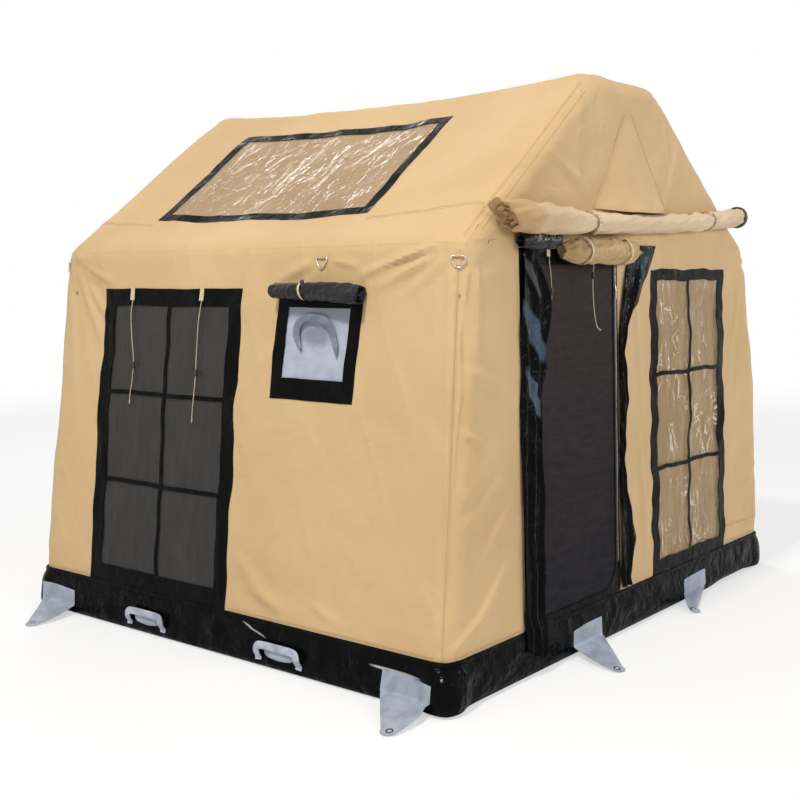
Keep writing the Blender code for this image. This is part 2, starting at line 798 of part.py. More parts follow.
def roof_rows(*levels):
    """Grid rows up a roof slope, closer together over its rounded edges."""
    rise_share = 1 / math.hypot(1, SLOPE_UP)
    return on_from(EAVE_HEIGHT, rise_share) + list(levels) + up_to(RIDGE_HEIGHT, rise_share)


def add_cover(looks):
    cloth = looks["cover"]
    layer = (-COVER_CLOTH, 0.0)
    wall_top = up_to(EAVE_HEIGHT)
    ends = (edge_lines(half_length, -1), edge_lines(half_length, 1))

    # Side walls: the left one is cut out for the window and the stove port
    window = (SIDE_WINDOW_FRONT + SEAM_LAP, SIDE_WINDOW_REAR - SEAM_LAP)
    port = (PORT_FRONT + SEAM_LAP, PORT_REAR - SEAM_LAP)
    port_rows = (PORT_LOW + SEAM_LAP, PORT_HIGH - SEAM_LAP)
    window_top = SIDE_WINDOW_TOP - SEAM_LAP
    lines = [*ends[0], *port, *window, *ends[1]]
    rows = sorted([SKIRT_HEIGHT, window_top, *port_rows, *wall_top])
    skip = cells_between(lines, rows, *window, SKIRT_HEIGHT, window_top)
    skip |= cells_between(lines, rows, *port, *port_rows)
    wall = add_panel("side_wall_left", LEFT, lines, rows, *layer, cloth, skip)
    lines = [*ends[0], 0.0, *ends[1]]
    add_panel("side_wall_right", RIGHT, lines, [SKIRT_HEIGHT, *wall_top], *layer, cloth)

    # Roof: one sheet over both slopes and the flat strip along the ridge
    light = (SKYLIGHT_FRONT + SEAM_LAP, SKYLIGHT_REAR - SEAM_LAP)
    light_rows = (SKYLIGHT_LOW + SEAM_LAP, SKYLIGHT_HIGH - SEAM_LAP)
    lines = [*ends[0], SAG_KNOTS[0], light[0], *SAG_KNOTS[1:-1], light[1], SAG_KNOTS[-1], *ends[1]]
    rows = roof_rows(SAG_FULL, *light_rows)
    skip = cells_between(lines, rows, *light, *light_rows)
    lines = [line if callable(line) else fixed(line) for line in lines]
    half_strip = up_to(RIDGE_FLAT / 2)[:-1]
    strip = [-across for across in reversed(half_strip)] + half_strip
    slopes = [[[face(line(row), row) for line in lines] for row in rows] for face in (LEFT, RIGHT)]
    top = [[(across, line(RIDGE_HEIGHT), RIDGE_HEIGHT) for line in lines] for across in strip]
    points = np.array([*slopes[0], *top, *reversed(slopes[1])])
    builder = bmesh.new()
    fill_slab(builder, skin(points, layer[1]), skin(points, layer[0]), skip)
    add_mesh("roof", builder, cloth)

    # Front end, with the doorway, the window and the vent, and the plain rear end
    door = (DOOR_LEFT + SEAM_LAP, DOOR_RIGHT - SEAM_LAP)
    door_top = DOOR_TOP - SEAM_LAP
    window = (FRONT_WINDOW_LEFT + SEAM_LAP, FRONT_WINDOW_RIGHT - SEAM_LAP)
    window_top = FRONT_WINDOW_TOP - SEAM_LAP
    gable_rows = [*wall_top[:-1], *roof_rows(*light_rows, RIDGE_HEIGHT - EDGE_ROUND)]
    rows = sorted([SKIRT_HEIGHT, window_top, door_top, *gable_rows])
    places = [*door, *window]
    index = [len(BAND_SHARES) + place for place in range(len(places))]
    skip = set(itertools.product(range(rows.index(door_top)), range(index[0], index[1])))
    skip |= set(itertools.product(range(rows.index(window_top)), range(index[2], index[3])))
    front = add_panel("front_wall", FRONT, end_lines(places), rows, *layer, cloth, skip)
    outline = vent_outline(*VENT_HOLE_SHARES)
    combine(front, add_plate("vent_cutter", FRONT, outline, -OVERRUN, OVERRUN, cloth))
    half = half_width(EAVE_HEIGHT)
    lines = end_lines([half * share for share in MID_SHARES])
    rows = [SKIRT_HEIGHT, *gable_rows]
    add_panel("rear_wall", REAR, lines, rows, *layer, cloth)
    return wall


# Windows

TRIM = (GAP, GAP + TRIM_CLOTH)
STRAP = (TRIM[1] / 2, TRIM[1] + GAP + CORD_DIAMETER)
PANE = (-PANE_SHEET, 0.0)
LINING = (-COVER_CLOTH - GAP - TRIM_CLOTH, -COVER_CLOTH - GAP)


def frame_cells(lines, rows):
    """The pane cells of a window frame: every second line and row is the start of one."""
    return set(itertools.product(range(1, len(rows) - 1, 2), range(1, len(lines) - 1, 2)))


def hole(low, high):
    """The edges of a pane that fills an opening in the cover."""
    return (low + SEAM_LAP + GAP, high - SEAM_LAP - GAP)


def add_windows(looks):
    panes = (WINDOW_COLUMNS, WINDOW_ROWS)
    side = (SIDE_WINDOW_FRONT, SIDE_WINDOW_REAR)
    lines = pane_lines(*side, SIDE_WINDOW_BAND, SIDE_WINDOW_BAND, panes[0])
    rows = pane_lines(SKIRT_HEIGHT, SIDE_WINDOW_TOP, SIDE_WINDOW_SILL, SIDE_WINDOW_BAND, panes[1])
    cells = frame_cells(lines, rows)
    frame = add_panel("side_window_frame", LEFT, lines, rows, *TRIM, looks["trim"], cells)
    levels = (WINDOW_TIE_LOW, WINDOW_TIE_TOP)
    for name, place in (("rear", WINDOW_TIE_REAR), ("front", WINDOW_TIE_FRONT)):
        edges = (place - WEBBING_WIDTH / 2, place + WEBBING_WIDTH / 2)
        strap = add_panel(f"strap_{name}", LEFT, edges, levels, *STRAP, looks["trim"])
        combine(frame, strap, "UNION")
    rows = (SKIRT_HEIGHT, SIDE_WINDOW_TOP - SEAM_LAP - GAP)
    add_panel("side_window_mesh", LEFT, hole(*side), rows, *PANE, looks["mesh"])

    front = (FRONT_WINDOW_LEFT, FRONT_WINDOW_RIGHT)
    lines = pane_lines(*front, FRONT_WINDOW_BAND, FRONT_WINDOW_BAND, panes[0])
    rows = pane_lines(SKIRT_HEIGHT, FRONT_WINDOW_TOP, FRONT_WINDOW_SILL, FRONT_WINDOW_HEAD, panes[1])
    add_panel("front_window_frame", FRONT, lines, rows, *TRIM, looks["trim"], frame_cells(lines, rows))
    rows = (SKIRT_HEIGHT, FRONT_WINDOW_TOP - SEAM_LAP - GAP)
    add_panel("front_window_pane", FRONT, hole(*front), rows, *PANE, looks["clear"])
    add_window_curtain(looks)

    light = (SKYLIGHT_FRONT, SKYLIGHT_REAR)
    lines = [light[0], light[0] + SKYLIGHT_BAND, *SAG_KNOTS[1:-1], light[1] - SKYLIGHT_BAND, light[1]]
    rise = 1 / math.hypot(1, SLOPE_UP)
    band = SKYLIGHT_BAND * rise
    rows = [SKYLIGHT_LOW, SKYLIGHT_LOW + band, SKYLIGHT_HIGH - band, SKYLIGHT_HIGH]
    open_cells = cells_between(lines, rows, lines[1], lines[-2], rows[1], rows[-2])
    add_panel("skylight_frame", LEFT, lines, rows, *TRIM, looks["trim"], open_cells)
    edges = hole(*light)
    lines = [edges[0], *SAG_KNOTS[1:-1], edges[1]]
    levels = (SKYLIGHT_LOW, SKYLIGHT_HIGH)
    add_panel("skylight_pane", LEFT, lines, hole(*levels), *PANE, looks["clear"])
    lines = [light[0] - CURTAIN_LAP, *SAG_KNOTS[1:-1], light[1] + CURTAIN_LAP]
    rows = (SKYLIGHT_LOW - CURTAIN_LAP, SKYLIGHT_HIGH + CURTAIN_LAP)
    add_panel("skylight_curtain", LEFT, lines, rows, *LINING, looks["curtain"])


def add_window_curtain(looks):
    """The curtain inside the front window: flat along its top hem, in upright folds below it."""
    left = FRONT_WINDOW_LEFT - CURTAIN_LAP
    right = FRONT_WINDOW_RIGHT + CURTAIN_LAP
    top = FRONT_WINDOW_TOP + CURTAIN_LAP
    hem = top - CURTAIN_HEM
    steps = CURTAIN_FOLDS * FOLD_STEPS
    lines = [left + (right - left) * step / steps for step in range(steps + 1)]
    rows = [SKIRT_HEIGHT + (hem - SKIRT_HEIGHT) * share for share in CURTAIN_ROW_SHARES] + [hem, top]

    def drop(across, level):
        turn = (across - left) / (right - left) * CURTAIN_FOLDS * math.tau
        loose = min(1, (top - level) / (top - hem) - 1) if level < hem else 0.0
        return CURTAIN_FOLD * loose * (1 - math.cos(turn)) / 2

    def high(across, level):
        return LINING[1] - drop(across, level)

    def low(across, level):
        return LINING[0] - drop(across, level)

    add_panel("front_window_curtain", FRONT, lines, rows, low, high, looks["curtain"])


# Stove port

def add_stove_port(looks):
    lines = [PORT_FRONT, PORT_FRONT + PORT_BAND, PORT_REAR - PORT_BAND, PORT_REAR]
    rows = [PORT_LOW, PORT_LOW + PORT_SILL, PORT_HIGH - PORT_BAND, PORT_HIGH]
    add_panel("stove_port_frame", LEFT, lines, rows, *TRIM, looks["trim"], {(1, 1)})
    edges = hole(PORT_FRONT, PORT_REAR)
    levels = hole(PORT_LOW, PORT_HIGH)
    add_panel("stove_port_panel", LEFT, edges, levels, *PANE, looks["heatproof"])

    centre = (PORT_FRONT + PORT_REAR) / 2
    radius = PORT_ARCH_WIDTH / 2
    leg = PORT_ARCH_RISE - radius
    inner = radius - PORT_ARCH_BAND
    arc = [step * math.pi / ARCH_STEPS for step in range(ARCH_STEPS + 1)]

    def arch(size):
        curve = [(centre + size * math.cos(turn), PORT_ARCH_Z + leg + size * math.sin(turn)) for turn in arc]
        return [(centre + size, PORT_ARCH_Z), *curve, (centre - size, PORT_ARCH_Z)]

    outer_line = arch(radius)
    inner_line = arch(inner)
    outer = np.array([[LEFT(*spot) for spot in line] for line in (outer_line, inner_line)])
    builder = bmesh.new()
    fill_slab(builder, skin(outer, PORT_ARCH_DEPTH), skin(outer, GAP))
    add_mesh("stove_port_sleeve", builder, looks["sleeve"])

    height = TRIM[1] + GAP + PORT_ROLL_RADIUS * ROLL_FLAT_SHARE
    spots = (PORT_ROLL_FRONT, centre, PORT_TIE_Y, PORT_ROLL_REAR)
    path = skin([LEFT(y, PORT_ROLL_Z) for y in spots], height)
    pinch = (1.0, 1.0, PORT_PINCH_SHARE, 1.0)

    def section(index):
        return circle(PORT_ROLL_RADIUS * pinch[index], ROLL_SIDES)

    add_sweep("stove_port_cover", path, section, upward(LEFT, PORT_ROLL_Z), looks["trim"])


# Door

def storm_roll():
    """The centre line and the radii of the rolled storm door, with room for its ties behind it."""
    path = []
    radii = [ROLL_RADIUS * swell for swell in ROLL_SWELL_SHARES]
    tied = [spot + step for spot in ROLL_TIE_SPOTS for step in (0, 1)]
    for index, (share, radius) in enumerate(zip(ROLL_SHARES, radii)):
        across = ROLL_LEFT + (ROLL_RIGHT - ROLL_LEFT) * share
        level = ROLL_Z - ROLL_DIP * math.sin(math.pi * share) + ROLL_RISE * share ** 2
        wrap = GAP + WEBBING_THICKNESS if index in tied else 0.0
        path.append(roll_centre(0.0, across, level, radius + wrap))
    return path, radii


def roll_centre(base, across, level, radius):
    """A place on a roll's centre line. A roll lies straight across the front end, past its edges."""
    centre = skin(FRONT(0.0, level), base + GAP + radius * ROLL_FLAT_SHARE)
    centre[0] = across
    return centre


def add_roll(name, path, radii, level, look):
    """A roll of cloth across the front end, with a flat of each section against the end."""
    def section(index):
        return circle(radii[index], ROLL_SIDES)

    return add_sweep(name, path, section, upward(FRONT, level), look)


def add_door(looks):
    trim = looks["trim"]
    outline = [
        (DOOR_LEFT, SKIRT_HEIGHT),
        (DOOR_RIGHT, SKIRT_HEIGHT),
        (DOOR_RIGHT, DOOR_TOP),
        (DOOR_LEFT, DOOR_TOP),
    ]
    surround = add_plate("door_surround", FRONT, outline, *TRIM, trim)
    edges = (DOOR_TIE_X - WEBBING_WIDTH / 2, DOOR_TIE_X + WEBBING_WIDTH / 2)
    levels = (DOOR_TIE_LOW, DOOR_TIE_TOP)
    combine(surround, add_panel("strap_door", FRONT, edges, levels, *STRAP, trim), "UNION")
    centre = (MESH_RIGHT - MESH_CORNER, MESH_LOW + MESH_CORNER)
    turns = [-math.pi / 2 + step * math.pi / 2 / CORNER_STEPS for step in range(CORNER_STEPS + 1)]
    corner = [
        (centre[0] + MESH_CORNER * math.cos(turn), centre[1] + MESH_CORNER * math.sin(turn))
        for turn in turns
    ]
    opening = [(MESH_LEFT, MESH_LOW), *corner, (MESH_RIGHT, MESH_HIGH), (MESH_LEFT, MESH_HIGH)]
    cutter = add_plate("door_cutter", FRONT, opening, -OVERRUN, OVERRUN, trim)
    combine(surround, cutter)

    hinge = add_pivot("mesh_door_pivot", skin(FRONT(MESH_LEFT - MESH_LAP, MESH_LOW)))
    lines = (MESH_LEFT - MESH_LAP, MESH_RIGHT + MESH_LAP)
    rows = (MESH_LOW - MESH_LAP, MESH_HIGH + MESH_LAP)
    add_panel("mesh_door", FRONT, lines, rows, -MESH_SHEET, 0.0, looks["mesh"], parent=hinge)

    half = SLIDER_WIDTH / 2
    outline = [
        (SLIDER_X - half, SLIDER_Z),
        (SLIDER_X - half / 2, SLIDER_Z - SLIDER_LENGTH),
        (SLIDER_X - half / 2, SLIDER_Z - SLIDER_LENGTH - SLIDER_PULL),
        (SLIDER_X + half / 2, SLIDER_Z - SLIDER_LENGTH - SLIDER_PULL),
        (SLIDER_X + half / 2, SLIDER_Z - SLIDER_LENGTH),
        (SLIDER_X + half, SLIDER_Z),
    ]
    pivot = add_pivot("zip_slider_pivot", skin(FRONT(SLIDER_X, SLIDER_Z)))
    base = TRIM[1] + GAP
    add_plate("zip_slider", FRONT, outline, base, base + SLIDER_THICKNESS, looks["metal"], parent=pivot)

    add_left_flap(looks)
    add_right_flap(looks)
    add_roll("storm_door_roll", *storm_roll(), ROLL_Z, looks["cover"])
    spread = CURTAIN_ROLL_RIGHT - CURTAIN_ROLL_LEFT
    radii = [CURTAIN_ROLL_RADIUS * swell for swell in CURTAIN_SWELL_SHARES]
    path = [
        roll_centre(TRIM[1], CURTAIN_ROLL_LEFT + spread * share, CURTAIN_ROLL_Z, radius)
        for share, radius in zip(CURTAIN_SHARES, radii)
    ]
    add_roll("door_curtain_roll", path, radii, CURTAIN_ROLL_Z, looks["curtain"])


def flap_rise(level):
    """How far a flap stands off the end wall where it hangs past the skirt."""
    past = (FLAP_PAST_HEIGHT + SKIRT_HEIGHT - level) / FLAP_PAST_HEIGHT
    return (SKIRT_BULGE + GAP) * min(1, max(0, past))


def fold_height(share, waves, loose):
    """The height of a hanging fold at a share of the flap's width."""
    return FLAP_FOLD * loose * (1 - math.cos(share * waves * math.tau)) / 2


def add_flap(name, edges, levels, waves, look):
    """A loose hanging flap. edges gives its left and right edge at a share of its height."""
    lower = []
    upper = []
    low, high = levels
    for row in FLAP_ROW_SHARES:
        left, right, dip = edges(row)
        points = []
        for column in FLAP_COLUMN_SHARES:
            level = low + (high - low) * row - dip * (1 - column)
            across = left + (right - left) * column
            loose = min(1, (1 - row) / (1 - FLAP_HUNG_SHARE))
            height = TRIM[1] + GAP + flap_rise(level) + fold_height(column, waves, loose)
            points.append((FRONT(across, level), height))
        spots = [spot for spot, _ in points]
        heights = np.array([height for _, height in points])
        lower.append(skin(spots, heights))
        upper.append(skin(spots, heights + TRIM_CLOTH))
    builder = bmesh.new()
    fill_slab(builder, np.array(upper), np.array(lower))
    return add_mesh(name, builder, look)


def add_left_flap(looks):
    """The black flap that hangs down over the skirt to a point."""
    def edges(row):
        widen = 1 - row
        dip = (LEFT_FLAP_POINT - LEFT_FLAP_HEM) * widen ** 2
        return LEFT_FLAP_OUTER, LEFT_FLAP_INNER - FLAP_TAPER * widen, dip

    add_flap("door_flap_left", edges, (LEFT_FLAP_POINT, FLAP_TOP), LEFT_FLAP_WAVES, looks["trim"])


def add_right_flap(looks):
    """The black flap that is drawn aside at its top and hangs straight below the neck."""
    neck_share = (RIGHT_FLAP_NECK_Z - RIGHT_FLAP_LOW) / (FLAP_TOP - RIGHT_FLAP_LOW)

    def edges(row):
        drawn = max(0, (row - neck_share) / (1 - neck_share))
        left = RIGHT_FLAP_STRIP_LEFT + (RIGHT_FLAP_LEFT - RIGHT_FLAP_STRIP_LEFT) * drawn
        right = RIGHT_FLAP_STRIP_RIGHT + (RIGHT_FLAP_RIGHT - RIGHT_FLAP_STRIP_RIGHT) * drawn
        return left, right, 0.0

    levels = (RIGHT_FLAP_LOW, FLAP_TOP)
    add_flap("door_flap_right", edges, levels, RIGHT_FLAP_WAVES, looks["trim"])


# Webbing ties

def fill_hoop(builder, centre, along, out, radius):
    """A closed loop of webbing round a roll."""
    along = unit(along)
    first = unit(out - along * (along @ out))
    second = np.cross(along, first)
    rings = []
    for turn in (index * math.tau / ROLL_SIDES + math.pi / ROLL_SIDES for index in range(ROLL_SIDES)):
        arm = first * math.cos(turn) + second * math.sin(turn)
        inner = centre + arm * (radius + GAP)
        outer = centre + arm * (radius + GAP + WEBBING_THICKNESS)
        half = along * WEBBING_WIDTH / 2
        rings.append([inner - half, outer - half, outer + half, inner + half])
    fill_loft(builder, rings, closed=True)


def add_ties(looks):
    """The two webbing ties that hold the rolled storm door."""
    path, radii = storm_roll()
    up = upward(FRONT, ROLL_Z)
    for name, spot in zip(("left", "right"), ROLL_TIE_SPOTS):
        start, finish = path[spot:spot + 2]
        builder = bmesh.new()
        fill_hoop(builder, (start + finish) / 2, finish - start, up, radii[spot])
        add_mesh(f"storm_door_tie_{name}", builder, looks["webbing"])


# Vent

def vent_outline(size_share, low_share):
    """The triangle of the vent in the gable, at a share of its hood's size."""
    tall = VENT_TOP - VENT_LOW
    half = VENT_HALF_WIDTH * size_share
    peak = VENT_PEAK_WIDTH * size_share
    low = VENT_LOW + tall * low_share
    top = low + tall * size_share
    return [(-half, low), (half, low), (peak, top), (-peak, top)]


def add_vent(looks):
    outline = vent_outline(*VENT_NET_SHARES)
    add_plate("vent_mesh", FRONT, outline, *LINING, looks["mesh"])
    hinge = add_pivot("vent_hood_pivot", skin(FRONT(0.0, VENT_TOP), TRIM[0]))
    lower = []
    upper = []
    for row in VENT_ROW_SHARES:
        level = VENT_LOW + (VENT_TOP - VENT_LOW) * row
        half = VENT_HALF_WIDTH + (VENT_PEAK_WIDTH - VENT_HALF_WIDTH) * row
        spots = [FRONT(half * share, level) for share in VENT_COLUMN_SHARES]
        swell = VENT_BULGE * (1 - row) ** 2
        heights = np.array([swell * (1 - share ** 2) for share in VENT_COLUMN_SHARES])
        lower.append(skin(spots, heights + TRIM[0]))
        upper.append(skin(spots, heights + TRIM[0] + COVER_CLOTH))
    builder = bmesh.new()
    fill_slab(builder, np.array(upper), np.array(lower))
    add_mesh("vent_hood", builder, looks["cover"], hinge)


# Anchor tabs

def tabs():
    """Each tab's name, the face it hangs on, its middle, its tongue's lean and its reach."""
    table = zip(("left", "right"), TAB_FRONT_X, TAB_FRONT_LEANS, TAB_FRONT_REACHES)
    front = [(f"front_{name}", FRONT, x, lean, reach) for name, x, lean, reach in table]
    rear = [(f"rear_{name}", REAR, -x, -TAB_LEAN, TAB_REACH) for name, x in zip(("right", "left"), TAB_FRONT_X)]
    places = (("front", -TAB_SIDE_Y), ("rear", TAB_SIDE_Y))
    left = [(f"left_{name}", LEFT, y, TAB_LEAN, TAB_REACH) for name, y in places]
    right = [(f"right_{name}", RIGHT, y, -TAB_LEAN, TAB_REACH) for name, y in places]
    return front + rear + left + right


def tab_frame(face, middle):
    """The fold of a tab: its middle, the way along it and the way out from the wall."""
    centre = skin(face(middle, TAB_FOLD), TAB_SEAT)
    beside = skin(face(middle + math.copysign(TAB_WIDTH / 4, -middle), TAB_FOLD), TAB_SEAT)
    along = unit(np.abs(beside - centre))
    out = unit(centre * (1 - along) * (1.0, 1.0, 0.0))
    return centre, along, out


def add_tabs(looks, skirt):
    """Tabs to peg the tent down: each has a patch welded to the skirt and a tongue below it."""
    levels = (TAB_FOLD + TAB_RELIEF, TAB_TOP)
    layer = (SKIRT_BULGE - TRIM_CLOTH / 2, TAB_SEAT + TRIM_CLOTH)
    for name, face, middle, lean, reach in tabs():
        lines = [middle + TAB_WIDTH / 2 * share for share in TAB_PATCH_SHARES]
        patch = add_panel(f"tab_{name}_patch", face, lines, levels, *layer, looks["tab"])
        combine(skirt, patch, "UNION")
        add_tongue(name, face, middle, tongue_outline(lean, reach), looks)


def tongue_outline(lean, reach):
    """The tongue's outline, along the fold and then out from the wall, and the middle of its tip."""
    half = TAB_WIDTH / 2
    tip = (lean, reach - TAB_TIP_RADIUS)
    turns = [TIP_START + (math.pi - 2 * TIP_START) * step / TIP_STEPS for step in range(TIP_STEPS + 1)]
    size = TAB_TIP_RADIUS
    arc = [(tip[0] + size * math.cos(turn), tip[1] + size * math.sin(turn)) for turn in turns]
    shoulder = half * TAB_SHOULDER_SHARE
    waist = reach * TAB_WAIST_SHARE
    return [(-half, 0.0), (half, 0.0), (shoulder, waist), *arc, (-shoulder, waist)], tip


def add_tongue(name, face, middle, shape, looks):
    """One tongue, which slopes from its fold to the ground, with an eyelet near its tip."""
    centre, along, out = tab_frame(face, middle)
    outline, tip = shape
    drop = math.asin((centre[2] - TAB_SHEET) / (tip[1] + TAB_TIP_RADIUS))
    ahead = out * math.cos(drop) - np.array((0.0, 0.0, math.sin(drop)))
    sheet = upward(face, TAB_FOLD) * TAB_SHEET
    flat = [centre + along * a + ahead * b for a, b in outline]
    hinge = add_pivot(f"tab_{name}_pivot", centre)
    builder = bmesh.new()
    fill_prism(builder, [point - sheet for point in flat], flat)
    tongue = add_mesh(f"tab_{name}", builder, looks["tab"], hinge)
    spot = centre + along * tip[0] + ahead * tip[1]
    ring = [spot + along * a + ahead * b for a, b in circle(EYELET_RADIUS, EYELET_SIDES)]
    through = upward(face, TAB_FOLD) * OVERRUN
    builder = bmesh.new()
    fill_prism(builder, [point - through for point in ring], [point + through for point in ring])
    combine(tongue, add_mesh(f"tab_{name}_cutter", builder, looks["tab"]))


# Grab handles

def add_handles(looks):
    """Moulded handles: each has two feet on the skirt and a bar that stands off it."""
    sides = (("left", LEFT), ("right", RIGHT))
    places = (("front", -HANDLE_Y), ("rear", HANDLE_Y))
    for (side, face), (name, middle) in itertools.product(sides, places):
        half = HANDLE_WIDTH / 2 - HANDLE_BAND / 2
        low = SKIRT_FLAT_LOW
        tall = HANDLE_TOP - HANDLE_BAND / 2 - low
        seat = SKIRT_BULGE + GAP + HANDLE_THICKNESS / 2
        leg = [(half, low + tall * rise, HANDLE_LIFT * lift) for rise, lift in HANDLE_LEG_SHARES]
        shoulder = half - HANDLE_CORNER * (1 - HANDLE_BEND_SHARE)
        bend = [
            (shoulder, low + tall * HANDLE_BEND_RISE_SHARE, HANDLE_LIFT),
            (half - HANDLE_CORNER, low + tall, HANDLE_LIFT),
        ]
        right = leg + bend
        left = [(-across, level, lift) for across, level, lift in reversed(right)]
        spots = right + left
        points = [face(middle + across, level) for across, level, _ in spots]
        path = skin(points, np.array([seat + lift for _, _, lift in spots]))
        out = unit(skin(face(middle, low), OVERRUN) - skin(face(middle, low)))
        thick = HANDLE_THICKNESS / 2
        wide = HANDLE_BAND / 2
        section = [(thick, wide), (-thick, wide), (-thick, -wide), (thick, -wide)]
        add_sweep(f"grab_handle_{side}_{name}", path, section, out, looks["handle"])


# Tie rings

def ring_places():
    """Each tie ring's name and its place along the side wall."""
    return ("front", -RING_END_Y), ("middle", RING_MID_Y), ("rear", RING_END_Y)


def ring_frame(y):
    """The axis of a tie ring: its middle, the way along it, out from the cloth, and down."""
    ground = skin(LEFT(y, RING_Z), TRIM[1])
    out = unit(skin(LEFT(y, RING_Z), OVERRUN) - ground)
    along = unit(np.cross((0.0, 0.0, 1.0), out))
    centre = ground + out * (RING_WIRE + RING_PLAY + RING_LOOP_WALL / 2)
    return centre, along, out, np.cross(along, out)


def add_rings(looks, wall):
    """Wire rings for guy ropes, each in a webbing loop that is sewn to the side wall."""
    cloth = looks["cover"]
    half = RING_PATCH_WIDTH / 2
    levels = (RING_Z - RING_PATCH_HEIGHT / 2, RING_Z + RING_PATCH_HEIGHT / 4)
    for name, y in ring_places():
        edges = (y - half, y, y + half)
        patch = add_panel(f"ring_{name}_patch", LEFT, edges, levels, -PATCH_SINK, TRIM[1], cloth)
        combine(wall, patch, "UNION")
        centre, along, out, down = ring_frame(y)
        bore = RING_WIRE + RING_PLAY
        reach = along * RING_LOOP_WIDTH / 2
        rings = []
        for near, far in zip(circle(bore, LOOP_SIDES), circle(bore + RING_LOOP_WALL, LOOP_SIDES)):
            near = centre + out * near[0] + down * near[1]
            far = centre + out * far[0] + down * far[1]
            rings.append([near - reach, far - reach, far + reach, near + reach])
        builder = bmesh.new()
        fill_loft(builder, rings, closed=True)
        combine(wall, add_mesh(f"ring_{name}_loop", builder, cloth), "UNION")

        right = [(RING_WIDTH * across, RING_DROP * fall) for across, fall in RING_SHARES]
        left = [(-across, fall) for across, fall in reversed(right)]
        loop = [*right, (0.0, RING_DROP), *left]
        path = [centre + along * across + down * fall for across, fall in loop]
        pivot = add_pivot(f"tie_ring_{name}_pivot", centre)
        builder = bmesh.new()
        section = circle(RING_WIRE, RING_SIDES)
        fill_loft(builder, sweep_rings(path, section, out, closed=True), closed=True)
        add_mesh(f"tie_ring_{name}", builder, looks["metal"], pivot)


# Valves

def add_valve(looks, arch):
    """The valve welded to the left leg of the front arch, which faces into the tent, and its cap."""
    foot, eave = arch_path(-1)[:2]
    share = (VALVE_Z - foot[2]) / (eave[2] - foot[2])
    centre = foot + (eave - foot) * share
    inward = np.array((0.0, 1.0, 0.0))
    up = np.array((0.0, 0.0, 1.0))
    path = [centre + inward * (BEAM_RADIUS + reach) for reach in (-VALVE_ROOT, VALVE_STAND)]
    stem = add_sweep("valve_stem", path, circle(VALVE_RADIUS, ROLL_SIDES), up, looks["beam"])
    combine(arch, stem, "UNION")
    start = path[-1] + inward * GAP
    disc = ((0.0, 1.0), (VALVE_CAP_THICKNESS, 1.0), (VALVE_CAP_THICKNESS + VALVE_CAP_GRIP, CAP_GRIP_SHARE))

    def section(index):
        return circle(VALVE_CAP_RADIUS * disc[index][1], ROLL_SIDES)

    pivot = add_pivot("valve_cap_pivot", start)
    builder = bmesh.new()
    fill_loft(builder, sweep_rings([start + inward * reach for reach, _ in disc], section, up))
    add_mesh("valve_cap", builder, looks["valve"], pivot)


# Cords and their locks

def smooth_route(points):
    """A smooth curve through a cord's points, as a Catmull-Rom spline."""
    points = [np.asarray(point) for point in points]
    padded = [2 * points[0] - points[1], *points, 2 * points[-1] - points[-2]]
    route = []
    for a, b, c, d in zip(padded, padded[1:], padded[2:], padded[3:]):
        for step in range(CORD_STEPS):
            t = step / CORD_STEPS
            pull = (c - a) * t + (2 * a - 5 * b + 4 * c - d) * t ** 2 + (3 * b - a - 3 * c + d) * t ** 3
            route.append(b + pull / 2)
    return [*route, points[-1]]


def cord_routes():
    """Each cord's name and the places it runs through."""
    table = (
        ("window_rear", LEFT, WINDOW_CORD_REAR),
        ("window_front", LEFT, WINDOW_CORD_FRONT),
        ("door_right", FRONT, DOOR_CORD_RIGHT),
        ("door_left", FRONT, DOOR_CORD_LEFT),
    )
    routes = []
    for name, face, spots in table:
        places = [face(across, EAVE_HEIGHT - drop) for across, drop, _ in spots]
        routes.append((name, skin(places, np.array([lift for _, _, lift in spots]))))
    return routes


def add_cords(looks):
    for (name, places), span in zip(cord_routes(), LOCK_SPANS):
        route = smooth_route(places)
        curve = bpy.data.curves.new(f"{name}_cord", "CURVE")
        curve.dimensions = "3D"
        curve.bevel_depth = CORD_DIAMETER / 2
        curve.bevel_resolution = 2
        curve.use_fill_caps = True
        curve.materials.append(looks["webbing"])
        spline = curve.splines.new("POLY")
        spline.points.add(len(route) - 1)
        for point, place in zip(spline.points, route):
            point.co = (*place, 1.0)
        bpy.context.scene.collection.objects.link(bpy.data.objects.new(f"{name}_cord", curve))

        held = route[span * CORD_STEPS:(span + 1) * CORD_STEPS + 1]
        side = np.cross(held[-1] - held[0], LOCK_SIDE)
        bore = CORD_DIAMETER / 2 / math.cos(math.pi / LOCK_SIDES) + GAP
        inner = sweep_rings(held, circle(bore, LOCK_SIDES), side)
        outer = sweep_rings(held, circle(LOCK_RADIUS, LOCK_SIDES), side)[::-1]
        rings = [[ring[index] for ring in inner + outer] for index in range(LOCK_SIDES)]
        builder = bmesh.new()
        fill_loft(builder, rings, closed=True)
        add_mesh(f"{name}_cord_lock", builder, looks["lock"])


